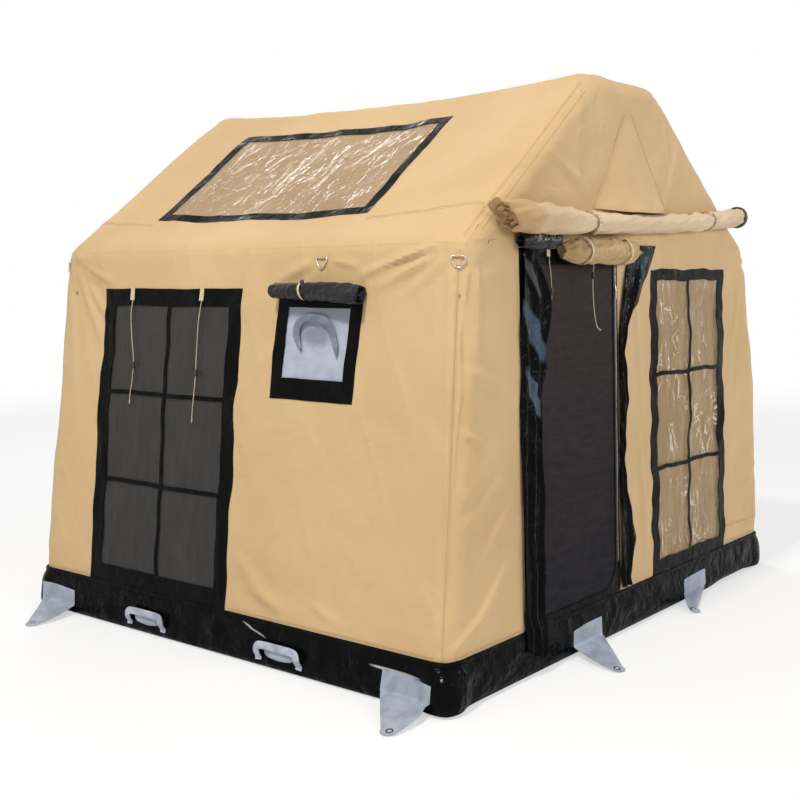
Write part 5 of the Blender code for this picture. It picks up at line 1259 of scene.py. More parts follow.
def add_seams(panels):
    """Sewn seams: up the corners, along the eaves, across the roof and over the hems."""
    wall = spread([SKIRT_HEIGHT + 0.004, EAVE_HEIGHT - 0.03], SEAM_STEP)
    gable = spread([EAVE_HEIGHT + 0.03, RIDGE_HEIGHT - 0.04], SEAM_STEP)
    reach = float(half_length(EAVE_HEIGHT)) - 0.03

    def corner(sign, inset):
        return lambda level: sign * (float(half_length(level)) - inset)

    def slope(sign, inset):
        return lambda level: sign * (float(half_width(level)) - inset)

    rows, edges = {}, {}
    for name, face, start in (("left", LEFT, 0.90), ("right", RIGHT, -0.09)):
        rows[name] = [seam_rows(face, corner(sign, 0.030), wall, SEAM_WIDE) for sign in (-1, 1)]
        for ends in ((-reach, -0.09), (start, reach)):
            rows[name].append(seam_line(face, FOOT_SEAM, ends, SEAM_WIDE))
        edges[name] = [seam_line(face, EAVE_HEIGHT, (-reach - 0.02, reach + 0.02), SEAM_WIDE)]
    rows["roof"] = []
    for face, runs in ((LEFT, ((-1.20, -0.60), (0.80, 1.20))), (RIGHT, ((-1.20, 1.20),))):
        rows["roof"] += [seam_line(face, 1.936, ends, SEAM_THIN) for ends in runs]
        rows["roof"] += [seam_rows(face, corner(sign, 0.034), gable, SEAM_WIDE) for sign in (-1, 1)]
    full = spread([SKIRT_HEIGHT + 0.004, EAVE_HEIGHT, RIDGE_HEIGHT - 0.002], 0.010)
    for name, face, end in (("front", FRONT, -1), ("rear", REAR, 1)):
        rows[name] = [seam_rows(face, slope(sign, 0.05), gable[2:-4], SEAM_THIN) for sign in (-1, 1)]
        edges[name] = [edge_strip(side, end, full, 0.012) for side in (-1, 1)]
    rows["front"] += [
        seam_line(FRONT, 0.300, (1.02, 1.42), SEAM_THIN),
        seam_line(FRONT, FOOT_SEAM, (-1.44, -0.96), SEAM_WIDE),
        seam_line(FRONT, FOOT_SEAM, (1.01, 1.44), SEAM_WIDE),
    ]
    rows["rear"] += [
        seam_line(REAR, EAVE_HEIGHT - 0.035, (-1.24, 1.24), SEAM_THIN),
        seam_line(REAR, FOOT_SEAM, (-1.44, 1.44), SEAM_WIDE),
        seam_rows(REAR, lambda level: 0.0, wall[1:], SEAM_THIN),
    ]
    for name in ("left", "right", "roof", "front", "rear"):
        parts = [add_strips(f"{name}_seams", rows[name])]
        if name in edges:
            parts.append(add_strips(f"{name}_edges", edges[name], "cover", HEM))
        declare(panels[name])


# Windows

def wavy(amount, length, seed):
    """Moves the lines of a border a little to and fro along the face, as loose coated cloth lies."""
    def warp(across, level):
        turn = math.tau / length
        aside = np.sin(level * turn + seed) + 0.6 * np.sin(level * turn * 2.3 + across * 3 + seed * 2)
        rise = np.sin(across * turn * 0.9 + seed) + 0.5 * np.sin(across * turn * 2.1 + level * 2)
        return across + amount * aside, level + amount * 0.45 * rise
    return warp


def pane_marks(low, high, first, last, panes, bar=0.02):
    pane = (high - last - low - first - (panes - 1) * bar) / panes
    marks = [low]
    for index in range(panes):
        start = low + first + index * (pane + bar)
        marks += [start, start + pane]
    return [*marks, high]


def add_border(name, face, lines, rows, skip, warp, node):
    """A window's welded border with its bars, as one sheet of even thickness."""
    grid = Grid(face, lines, rows, 0.018)
    cells = set().union(*(grid.cells(*hole) for hole in skip))
    made = add_panel(name, grid, *TRIM, "trim", cells, warp, stands_for=(node,))
    return declare(made)


def add_windows():
    """The side window, the front window and the skylight, each with its border and its net or film."""
    holes = [(a, a + 1, b, b + 1) for a in (1, 3) for b in (1, 3, 5)]
    lines = pane_marks(*SIDE_WINDOW, 0.08, 0.08, 2)
    rows = pane_marks(SKIRT_HEIGHT, SIDE_WINDOW_TOP, 0.08, 0.08, 3)
    add_border("side_window_border", LEFT, lines, rows, holes, wavy(0.0035, 0.5, 1.0),
               "side_window_frame")

    def crumpled(across, level):
        near = smooth(level, 1.25, 1.5) * (0.35 + 0.65 * (1 - smooth(across, 0.35, 0.5)))
        points = LEFT(across, level)
        return -0.0035 + 0.0028 * near * creases(points, FINE) + 0.0006 * ripples(points, CRINKLE)

    grid = Grid(LEFT, drawn_in(SIDE_WINDOW, UNDER), [SKIRT_HEIGHT, SIDE_WINDOW_TOP - UNDER], 0.015)
    made = add_pane("side_window_net", grid, crumpled, 0.001, "window_net", stands_for=("side_window_mesh",))
    declare(made)
    for name, place in (("rear", 0.686), ("front", 0.191)):
        add_strap(f"window_strap_{name}", LEFT, place, [1.552, 1.612])

    lines = pane_marks(*FRONT_WINDOW, 0.07, 0.07, 2)
    rows = pane_marks(SKIRT_HEIGHT, FRONT_WINDOW_TOP, 0.065, 0.055, 3)
    add_border("front_window_border", FRONT, lines, rows, holes, wavy(0.0085, 0.34, 2.2),
               "front_window_frame")

    def creased(across, level):
        points = FRONT(across, level) * (1.0, 1.0, 0.5)
        return -0.0022 + 0.0016 * creases(points, FINE) + 0.0006 * creases(points, CRUMPLE)

    grid = Grid(FRONT, drawn_in(FRONT_WINDOW, UNDER), [SKIRT_HEIGHT, FRONT_WINDOW_TOP - UNDER], 0.014)
    made = add_pane("front_window_film", grid, creased, 0.0008, "film", stands_for=("front_window_pane",))
    declare(made)

    left, right = drawn_in(FRONT_WINDOW, -0.02)
    top = FRONT_WINDOW_TOP + 0.02

    def pleated(across, level):
        turn = (across - left) / (right - left) * 5 * math.tau
        turn = turn + 0.5 * np.sin(turn * 0.37 + level * 2.0)
        loose = smooth(top - level, 0.03, 0.35)
        return LINING[1] - 0.020 * loose * (1 - np.cos(turn)) / 2

    grid = Grid(FRONT, [left, right], [SKIRT_HEIGHT, top - 0.05, top], 0.011)
    made = add_pane("front_curtain", grid, pleated, LINING[1] - LINING[0], "curtain",
                    stands_for=("front_window_curtain",))
    declare(made)

    rise = 1 / math.hypot(1, SLOPE_UP)
    band = 0.049
    lines = [SKYLIGHT[0], SKYLIGHT[0] + band, SKYLIGHT[1] - band, SKYLIGHT[1]]
    rows = [SKYLIGHT_LOW, SKYLIGHT_LOW + band * rise, SKYLIGHT_HIGH - band * rise, SKYLIGHT_HIGH]
    add_border("skylight_border", LEFT, lines, rows, [(1, 2, 1, 2)], wavy(0.004, 0.6, 0.4),
               "skylight_frame")

    def tight(across, level):
        points = LEFT(across, level)
        return -0.0020 + 0.0014 * creases(points, FINE) + 0.0008 * ripples(points, CRUMPLE)

    levels = (SKYLIGHT_LOW, SKYLIGHT_HIGH)
    grid = Grid(LEFT, drawn_in(SKYLIGHT, UNDER), drawn_in(levels, UNDER), 0.013)
    made = add_pane("skylight_film", grid, tight, 0.0008, "sky_film", stands_for=("skylight_pane",))
    declare(made)
    grid = Grid(LEFT, drawn_in(SKYLIGHT, -0.02), drawn_in(levels, -0.02), 0.02)
    made = add_panel("skylight_blind", grid, *LINING, "curtain", stands_for=("skylight_curtain",))
    declare(made)


# Rolls of cloth

ROLL_SIDES = 48
ROLL_FLAT = 0.966
# The wound ends of a roll: rings from its middle outwards, and how far each stands in or out
ROLL_MOUTH = ((6.6, 1.6), (5.6, 0.4), (4.6, 1.8), (3.4, 0.2), (2.2, 1.4), (1.0, -0.3))


def rolled(name, path, radii, out, look, seed, crumple, lobes, node=None, mouth=0.006, slant=0.0):
    """A roll of cloth: lobed and creased along its length, flat on the wall, and wound at its ends."""
    random = np.random.default_rng(seed)
    path = np.asarray(path)
    shares = np.linspace(0, 1, len(path))
    turns = all_round(ROLL_SIDES)
    shape = np.zeros((len(path), ROLL_SIDES))
    for count, size in ((2, 1.0), (3, 0.8), (4, 0.6), (5, 0.5), (7, 0.4)):
        drift = random.uniform(-6, 6) * shares + random.uniform(0, math.tau)
        drift += random.uniform(0.3, 1.0) * np.sin(random.uniform(4, 12) * shares + random.uniform(0, 6))
        shape += lobes * size * np.sin(count * turns[None, :] + drift[:, None])
    for _ in range(14):
        along = random.uniform(10, 60)
        count = random.integers(0, 6)
        wave = np.sin(along * shares[:, None] + count * turns[None, :] + random.uniform(0, math.tau))
        shape += crumple * random.uniform(0.2, 1.0) * (1 - np.abs(wave) * 2) * 0.25
    edge = (turns[None, :] - 4.2 - 0.5 * np.sin(5 * shares)[:, None]) % math.tau
    shape += 0.05 * np.exp(-edge * 1.2)
    size = np.asarray(radii)[:, None] * np.clip(0.93 + shape, 0.72, 1.06)
    rings = []
    order = [(0, 1 - step / 7, depth * mouth) for step, depth in ROLL_MOUTH]
    full = [(index, 1.0, 0.0) for index in range(len(path))]
    last = [(len(path) - 1, share, -depth) for _, share, depth in reversed(order)]
    for index, share, depth in [*order, *full, *last]:
        near, far = max(0, index - 1), min(len(path) - 1, index + 1)
        ahead = unit(path[far] - path[near])
        first = unit(out - ahead * (out @ ahead))
        second = np.cross(ahead, first)
        arm_out = np.maximum(size[index] * share * np.cos(turns), -radii[index] * ROLL_FLAT)
        arm_up = size[index] * share * np.sin(turns)
        ring = path[index] + arm_out[:, None] * first + arm_up[:, None] * second + ahead * depth
        lean = slant * math.exp(-(shares[index] / 0.07) ** 2)
        ring += (lean * (arm_up / radii[index] * second[2] + 0.2))[:, None] * -ahead
        rings.append(ring)
    rings = np.array(rings)
    made = add_piece(name, rings, ring_faces(*rings.shape[:2]), look, stands_for=(node,) if node else (),
                     sharp=60.0)


ROLL_SHARES = (0.0, 0.06, 0.14, 0.24, 0.289, 0.305, 0.36, 0.48, 0.60, 0.72, 0.83, 0.846, 0.92, 1.0)
ROLL_SWELLS = (1.12, 1.18, 1.16, 1.03, 0.88, 0.88, 0.9, 0.84, 0.8, 0.86, 0.84, 0.84, 0.94, 0.96)
ROLL_RADIUS = 0.058
ROLL_ENDS = (-1.12, 1.08)
ROLL_Z = 1.885
ROLL_TIES = (("left", 0.297), ("right", 0.838))
FLAT = math.cos(math.pi / 12)
HOOP_SIDES = 40


def roll_place(base, across, level, radius):
    centre = skin(FRONT(0.0, level), base + GAP + radius * FLAT)
    centre[0] = across
    return centre


def storm_roll(share):
    """The centre and the radius of the rolled storm door at a share of its length."""
    radius = ROLL_RADIUS * float(np.interp(share, ROLL_SHARES, ROLL_SWELLS))
    level = ROLL_Z - 0.02 * math.sin(math.pi * share) + 0.06 * share ** 2
    tied = min(abs(share - tie) for _, tie in ROLL_TIES) < 0.02
    across = ROLL_ENDS[0] + (ROLL_ENDS[1] - ROLL_ENDS[0]) * share
    return roll_place(0.0019 if tied else 0.001, across, level, radius), radius


def add_hoop(name, centre, along, out, radius, width, look, thickness=0.0016, node=None, lean=0.0):
    """A loop of webbing round a roll."""
    along = unit(along)
    first = unit(out - along * (along @ out))
    second = np.cross(along, first)
    corners = ((0.0003, -0.5), (thickness, -0.48), (thickness, 0.48), (0.0003, 0.5))
    rings = []
    for turn in all_round(HOOP_SIDES):
        arm = first * math.cos(turn) + second * math.sin(turn)
        middle = centre + along * lean * math.sin(turn)
        rings.append([middle + arm * (radius + height) + along * width * side for height, side in corners])
    made = add_piece(name, rings, ring_faces(HOOP_SIDES, 4, closed=True), look,
                     stands_for=(node,) if node else ())
    return made


def add_storm_roll():
    """The rolled storm door, its two ties and the black rim at its right end."""
    shares = np.linspace(0, 1, 150)
    spots = [storm_roll(share) for share in shares]
    path = np.array([centre for centre, _ in spots])
    radii = np.array([radius for _, radius in spots])
    for values in (path, radii):
        values[1:-1] = (values[:-2] + 2 * values[1:-1] + values[2:]) / 4
    pinch = sum(np.exp(-((shares - tie) / 0.018) ** 2) for _, tie in ROLL_TIES)
    out = facing(FRONT, 0.0, 1.95)
    rolled("storm_roll", path, radii * (1 - 0.10 * pinch), out, "roll", 5, 0.14, 0.04, "storm_door_roll",
           mouth=0.016, slant=0.075)
    for name, share in ROLL_TIES:
        centre, radius = storm_roll(share)
        hoop = add_hoop(f"storm_tie_{name}", centre, (1.0, 0.0, 0.02), out, radius + 0.0008, 0.024, "strap",
                        node=f"storm_door_tie_{name}", lean=0.004)
        declare(hoop)
    centre, radius = storm_roll(1.0)
    add_hoop("storm_roll_rim", centre - (0.010, 0.0, 0.0), (1.0, 0.0, 0.0), out, radius * 0.85, 0.024, "lock",
             thickness=0.008)


def add_curtain_roll():
    """The rolled inner curtain of the door with its two ties, and the bundled head of the left flap."""
    shares = np.linspace(0, 1, 90)
    swells = ((0.0, 0.1, 0.25, 0.42, 0.6, 0.8, 1.0), (0.62, 0.95, 1.10, 1.02, 1.08, 1.14, 1.0))
    radii = 0.054 * np.interp(shares, *swells)
    path = [roll_place(TRIM[1], -0.68 + 0.57 * share, 1.755, radius) for share, radius in zip(shares, radii)]
    out = facing(FRONT, 0.0, 1.70)
    rolled("curtain_roll", path, radii, out, "curtain", 8, 0.16, 0.06, "door_curtain_roll")
    for index, share in enumerate((0.22, 0.80)):
        spot = int(share * (len(path) - 1))
        hoop = add_hoop(f"curtain_tie_{index}", path[spot], (1.0, 0.0, 0.0), out, radii[spot] * 0.99, 0.014,
                        "strap", lean=0.006)
        declare(hoop)

    shares = np.linspace(0, 1, 70)
    radii = 0.040 * np.interp(shares, (0.0, 0.15, 0.6, 1.0), (0.75, 1.0, 0.95, 0.7))
    path = [roll_place(TRIM[1] + 0.0012, -0.985 + 0.285 * share, 1.79 + 0.012 * share, radius)
            for share, radius in zip(shares, radii)]
    rolled("left_flap_bundle", path, radii, out, "crumpled", 14, 0.14, 0.08)


PORT_TIE_Y = -0.47


def add_port_roll():
    """The rolled cover of the stove port, its tie and the nub above it."""
    places = np.linspace(-0.783, -0.297, 90)
    radius = np.interp(places, (-0.783, -0.71, -0.60, -0.29), (0.042, 0.044, 0.040, 0.038))
    levels = np.interp(places, (-0.783, -0.6, -0.29), (1.578, 1.592, 1.594))
    path = skin(LEFT(places, levels), TRIM[1] + GAP + radius * FLAT)
    tied = np.exp(-((places - PORT_TIE_Y) / 0.022) ** 2)
    out = facing(LEFT, -0.5, 1.58)
    rolled("port_cover_roll", path, radius * (1 - 0.14 * tied), out, "crumpled", 21, 0.07, 0.05,
           "stove_port_cover")
    spot = int(np.argmin(np.abs(places - PORT_TIE_Y)))
    tie = add_hoop("port_cover_tie", path[spot], path[spot + 1] - path[spot], out, radius[spot] * 0.90, 0.010,
                   "strap", lean=0.006)
    declare(tie)
    up = upward(LEFT, 1.6)
    seat = path[spot] + (up * 0.9 + out * 0.3) * radius[spot] * 0.86
    stem = [seat + (up * share + out * share * 0.3) * 0.016 + np.array((0.0, -0.004, 0.0)) * share
            for share in np.linspace(0, 1, 7)]
    thick = (0.010, 0.0105, 0.0095, 0.008, 0.0072, 0.0066, 0.003)
    add_sweep("port_cover_nub", stem, lambda index: circle(thick[index], 16), out, "lock")


# Stove port

def add_stove_port():
    def leaning(across, level):
        return wavy(0.002, 0.4, 0.7)(across - 0.05 * (level - 1.366), level)

    lines = [PORT[0], PORT[0] + 0.062, PORT[1] - 0.062, PORT[1]]
    rows = [PORT_LOW, PORT_LOW + 0.09, PORT_HIGH - 0.062, PORT_HIGH]
    add_border("port_border", LEFT, lines, rows, [(1, 2, 1, 2)], leaning, "stove_port_frame")

    def buckled(across, level):
        points = LEFT(across, level)
        hollow = np.exp(-(((across + 0.52) / 0.085) ** 2 + ((level - 1.43) / 0.06) ** 2))
        return -0.0032 + 0.00128 * ripples(points, CRINKLE) + 0.001 * creases(points, FINE) - 0.008 * hollow

    grid = Grid(LEFT, drawn_in(PORT, UNDER), drawn_in((PORT_LOW, PORT_HIGH), UNDER), 0.008)
    made = add_pane("port_panel", grid, buckled, 0.001, "panel", stands_for=("stove_port_panel",))
    declare(made)
    # The sleeve lies on the panel as an arch: across, height and half width
    spots = ((-0.437, 1.372, 0.006), (-0.415, 1.405, 0.015), (-0.402, 1.440, 0.019), (-0.413, 1.476, 0.019),
             (-0.452, 1.498, 0.017), (-0.500, 1.504, 0.018), (-0.552, 1.494, 0.019), (-0.593, 1.462, 0.018),
             (-0.613, 1.420, 0.016), (-0.627, 1.385, 0.013), (-0.636, 1.350, 0.005))
    route = flowing(spots, 8)
    path = skin(LEFT(route[:, 0] - 0.009, route[:, 1] - 0.018), 0.0045)
    out = facing(LEFT, -0.5, 1.45)
    turns = all_round(24)
    phase = np.random.default_rng(3).uniform(0, math.tau, 6)

    def section(index):
        wide = route[index, 2]
        lump = 1 + 0.18 * np.sin(3 * turns + index * 0.35 + phase[0]) + 0.12 * np.sin(5 * turns - index * 0.6)
        ridge = 1 + 0.25 * np.sin(index * 0.9 + phase[1]) * np.sin(2 * turns + phase[2])
        thick = np.maximum(0.0050 * np.cos(turns) * lump * ridge, -0.0042)
        return np.stack((thick, wide * np.sin(turns)), -1)

    made = add_sweep("port_sleeve", path, section, out, "sleeve", stands_for=("stove_port_sleeve",),
                     sharp=50.0)


# Door

MESH = (-0.80, -0.19)
MESH_LOW = 0.228
MESH_HIGH = 1.70
MESH_CORNER = 0.12
FLAP_TOP = 1.788


def add_door():
    lines = [DOOR[0], MESH[0], MESH[1], DOOR[1]]
    rows = [SKIRT_HEIGHT, MESH_LOW, MESH_HIGH, DOOR_TOP]
    grid = Grid(FRONT, lines, rows, 0.016)
    points = FRONT(grid.across, grid.level)
    outer, inner = skin(points, TRIM[1]), skin(points, TRIM[0])
    faces = slab_faces(*points.shape[:2], grid.cells(1, 2, 1, 2))
    corner = []
    for turn in np.linspace(-math.pi / 2, 0, 13):
        x, z = math.cos(turn), math.sin(turn)
        reach = 1 / max(abs(x), abs(z))
        corner.append([(MESH[1] - MESH_CORNER * (1 - size * x), MESH_LOW + MESH_CORNER * (1 + size * z))
                       for size in (1.0, (1 + reach) / 2, reach)])
    corner = np.array(corner)[1:-1]
    patch = FRONT(corner[..., 0], corner[..., 1])
    layers = [outer, inner, skin(patch, TRIM[1]), skin(patch, TRIM[0])]
    faces += slab_faces(*patch.shape[:2], start=2 * grid.across.size)
    made = add_piece("door_border", stacked(*layers), faces, "trim", stands_for=("door_surround",))
    declare(made)
    add_strap("door_strap", FRONT, -0.733, [1.733, 1.762])

    def rippled(across, level):
        sway = np.sin(level * 40 + 2.5 * np.sin(across * 7) + across * 4) * 0.0006
        hung = np.sin(np.pi * (across - MESH[0]) / (MESH[1] - MESH[0]))
        return -0.0012 + (sway - 0.004) * np.clip(hung, 0, 1)

    grid = Grid(FRONT, drawn_in(MESH, -0.010), drawn_in((MESH_LOW, MESH_HIGH), -0.010), 0.014)
    made = add_pane("door_net_sheet", grid, rippled, 0.0008, "door_net", body="mesh_door",
                    stands_for=("mesh_door",))
    declare(made)
    add_zip()
    add_flaps()


def add_flap(name, node, edges, low, swing):
    """A loose flap. edges gives its left and right side and its dip at a share of its height."""
    up = np.linspace(0, 1, 90)
    over = np.linspace(0, 1, 34)
    across, level, height = (np.zeros((len(up), len(over))) for _ in range(3))
    for index, row in enumerate(up):
        left, right, dip = edges(row)
        level[index] = low + (FLAP_TOP - low) * row - dip * (1 - over)
        across[index] = left + (right - left) * over
        height[index] = swing(over, row)
    rise = 0.0123 * np.clip((0.25 - level) / 0.05, 0, 1)
    spots = FRONT(across, level)
    base = TRIM[1] + GAP + rise + np.clip(height, 0.0, 0.05)
    layers = [skin(spots, base + 0.0014), skin(spots, base)]
    made = add_piece(name, stacked(*layers), slab_faces(*across.shape), "flap", stands_for=(node,),
                     sharp=55.0)


LEFT_FLAP_LOW = 0.065
LEFT_FLAP_LEFT = ((0.065, 1.10, 1.28, 1.42, 1.55, 1.74), (-0.97, -0.972, -0.96, -0.967, -0.95, -0.93))
LEFT_FLAP_RIGHT = (
    (0.065, 0.24, 0.76, 1.08, 1.185, 1.263, 1.367, 1.44, 1.512, 1.578, 1.70),
    (-0.835, -0.83, -0.82, -0.833, -0.816, -0.785, -0.785, -0.75, -0.736, -0.745, -0.81),
)
RIGHT_FLAP_LOW = 0.215
RIGHT_FLAP_LEFT = ((0.215, 1.36, 1.50, 1.60, 1.70, 1.788), (-0.150, -0.150, -0.127, -0.10, -0.065, -0.027))
RIGHT_FLAP_RIGHT = (
    (0.215, 0.26, 0.415, 0.539, 0.66, 0.775, 0.942, 1.08, 1.20, 1.30, 1.42, 1.523, 1.672, 1.788),
    (-0.072, -0.07, 0.0, -0.03, -0.085, -0.118, -0.10, -0.068, -0.09, -0.105, -0.072, 0.035, 0.147, 0.235),
)


def add_flaps():
    def left_edges(row):
        level = LEFT_FLAP_LOW + (FLAP_TOP - LEFT_FLAP_LOW) * row
        left, right = (float(np.interp(level, *side)) for side in (LEFT_FLAP_LEFT, LEFT_FLAP_RIGHT))
        return left, right + 0.005 * math.sin(row * 37), -0.055 * (1 - row) ** 2

    def left_swing(over, row):
        loose = min(1.0, (1 - row) * 14)
        wave = 0.5 - 0.5 * np.cos(over * 2.2 * math.tau + 1.6 * math.sin(row * 7) + row * 3)
        fine = 0.5 + 0.5 * np.sin(over * 19 + 4 * math.sin(row * 11) + row * 25)
        roll = math.exp(-((row - 0.985) / 0.02) ** 2)
        return loose * (0.014 * wave + 0.004 * fine) + 0.02 * roll * np.sin(np.pi * over)

    def right_edges(row):
        level = RIGHT_FLAP_LOW + (FLAP_TOP - RIGHT_FLAP_LOW) * row
        left, right = (float(np.interp(level, *side)) for side in (RIGHT_FLAP_LEFT, RIGHT_FLAP_RIGHT))
        return left, right + 0.004 * math.sin(row * 61), 0.0

    def right_swing(over, row):
        loose = min(1.0, (1 - row) * 12)
        wave = 0.5 - 0.5 * np.cos(over * 1.6 * math.tau + 2.2 * math.sin(row * 9))
        fine = 0.5 + 0.5 * np.sin(over * 16 + 5 * math.sin(row * 14) + row * 31)
        return loose * (0.012 * wave + 0.004 * fine)

    add_flap("left_flap", "door_flap_left", left_edges, LEFT_FLAP_LOW, left_swing)
    add_flap("right_flap", "door_flap_right", right_edges, RIGHT_FLAP_LOW, right_swing)


ZIP_X = -0.170
ZIP_PITCH = 0.0058
TOOTH_TALL = 0.0026
TOOTH_WIDE = (0.0002, 0.0034)
ZIP_BODY = ((1.603, 0.0045), (1.598, 0.0062), (1.588, 0.0058), (1.578, 0.0035), (1.575, 0.0026))
ZIP_PULL = (
    (1.590, 0.0028, 0.0048), (1.580, 0.0030, 0.0050), (1.565, 0.0032, 0.0044), (1.550, 0.0036, 0.0038),
    (1.546, 0.0024, 0.0036),
)


def add_zip():
    """The zip beside the net: a tape, two rows of teeth and the slider with its pull."""
    grid = Grid(FRONT, [ZIP_X - 0.012, ZIP_X + 0.012], [0.34, MESH_HIGH], 0.006)
    tape = add_panel("door_zip_tape", grid, TRIM[1] + 0.0001, TRIM[1] + 0.0007, "lock")
    declare(tape)
    points, faces = [], []
    for index, side in itertools.product(range(230), (-1, 1)):
        low = 0.35 + index * ZIP_PITCH + ZIP_PITCH / 2 * (side > 0)
        near, far = (ZIP_X + side * reach for reach in TOOTH_WIDE)
        high = low + TOOTH_TALL
        spots = FRONT(np.array((near, far, far, near)), np.array((low, low, high, high)))
        ids = np.arange(8) + 4 * len(points)
        points += [spots, spots]
        faces += [ids[:4], ids[4:][::-1]]
        faces += [np.array((ids[k], ids[(k + 1) % 4], ids[(k + 1) % 4 + 4], ids[k + 4])) for k in range(4)]
    heights = np.tile(np.repeat((TRIM[1] + 0.0008, TRIM[1] + 0.0020), 4), len(points) // 2)
    add_piece("door_zip_teeth", skin(np.concatenate(points), heights), faces, "metal")

    base = TRIM[1] + 0.0022
    out = facing(FRONT, ZIP_X, 1.59)
    turns = all_round(16)

    def oval(thick, wide):
        return np.stack((thick * np.cos(turns), wide * np.sin(turns)), -1)

    path = skin([FRONT(ZIP_X, level) for level, _ in ZIP_BODY], base + 0.0022)
    add_sweep("zip_pull_body", path, lambda index: oval(0.0022, ZIP_BODY[index][1]), out, "metal",
              body="zip_slider", stands_for=("zip_slider",))
    lifts = np.array([base + lift for _, _, lift in ZIP_PULL])
    path = skin([FRONT(ZIP_X, level) for level, _, _ in ZIP_PULL], lifts)
    add_sweep("zip_pull_tab", path, lambda index: oval(0.0007, ZIP_PULL[index][1]), out, "metal",
              body="zip_slider")


# Vent

HOOD_SWELL = 0.058
VENT_NET_SCALE = 0.83
VENT_NET_LOW = 0.067


def add_vent():
    """The net over the hole in the gable, and the hood that bulges over it, open at its foot."""
    def outline(level, scale=1.0, low=0.0):
        start = VENT_LOW + VENT_TALL * low
        share = np.clip((level - start) / (VENT_TALL * scale), 0, 1)
        return scale * (VENT_HALF + (VENT_PEAK - VENT_HALF) * share)

    def net_edges(level):
        half = outline(level, VENT_NET_SCALE, VENT_NET_LOW)
        return [-half, half]

    def edges(level):
        return [-float(outline(level)), float(outline(level))]

    start = VENT_LOW + VENT_TALL * VENT_NET_LOW
    grid = Grid(FRONT, net_edges, [start, start + VENT_TALL * VENT_NET_SCALE], 0.02)
    made = add_panel("vent_net_sheet", grid, LINING[0], LINING[0] + 0.001, "vent_net",
                     stands_for=("vent_mesh",))
    declare(made)

    def loose(across, level):
        row = (level - VENT_LOW) / VENT_TALL
        share = across / outline(level)
        swell = HOOD_SWELL * (1 - np.clip(row, 0, 1)) ** 2 * (1 - share ** 2) * (1 + 0.35 * share)
        hem = 0.006 * np.exp(-(row / 0.07) ** 2) * np.cos(share * 9) * (1 - share ** 2)
        fold = 0.004 * np.exp(-((share - 0.35 + 0.3 * row) / 0.12) ** 2) * (1 - row)
        return TRIM[0] + 0.0006 + swell + hem + fold + 0.0008 * (1 - share ** 2)

    def hanging(across, level):
        row = (level - VENT_LOW) / VENT_TALL
        share = across / outline(level)
        return across, level - 0.012 * (1 - share ** 2) * (1 - row) ** 4

    grid = Grid(FRONT, edges, [VENT_LOW, VENT_TOP], 0.012)
    hood = add_panel("vent_hood_sheet", grid, loose, lambda a, b: loose(a, b) + 0.002, "cover", warp=hanging,
                     body="vent_hood", stands_for=("vent_hood",))
    levels = np.array(spread([VENT_LOW + 0.004, VENT_TOP - 0.01], 0.015))
    level = np.repeat(levels[:, None], len(ACROSS_STRIP), axis=1)
    half = outline(level)
    points, faces = [], []
    for sign in (-1, 1):
        across = sign * (half - 0.008) + 0.006 * ACROSS_STRIP
        spots = FRONT(across, level)
        lift = loose(np.clip(across, -half * 0.999, half * 0.999), level) + 0.002
        faces += slab_faces(*level.shape, start=len(points) * level.size)
        points += [skin(spots, lift + 0.0008), skin(spots, lift + 0.0001)]
    spot = np.stack(np.broadcast_arrays(level, ACROSS_STRIP, 0.0), -1)
    stitches = add_piece("vent_hood_seams", stacked(*points), faces, "seam", "vent_hood",
                         lay=stacked(spot, spot, spot, spot))
    declare(hood)


# Anchor tabs, grab handles and tie rings

TAB_WIDTH = 0.25
TAB_TOP = 0.125
TAB_FOLD = 0.046
TAB_TIP = 0.036
TAB_THICK = 0.0018
EYELET_HOLE = 0.0108
EYELET_RIM = 0.0125
EYELET_SECTION = np.array((
    (0.0012, 0.0), (0.0006, 0.0028), (-0.0010, 0.0034), (-0.0012, 0.0), (-0.0010, -0.0034), (0.0006, -0.0028),
))


def tab_frame(face, middle):
    """The fold of a tab: its middle, the way along it and the way out from the wall."""
    seat = SKIRT_BULGE + GAP
    centre = flat_skin(face(middle, TAB_FOLD), seat)
    beside = flat_skin(face(middle + math.copysign(TAB_WIDTH / 4, -middle), TAB_FOLD), seat)
    along = unit(np.abs(beside - centre))
    out = unit(centre * (1 - along) * (1.0, 1.0, 0.0))
    return centre, along, out


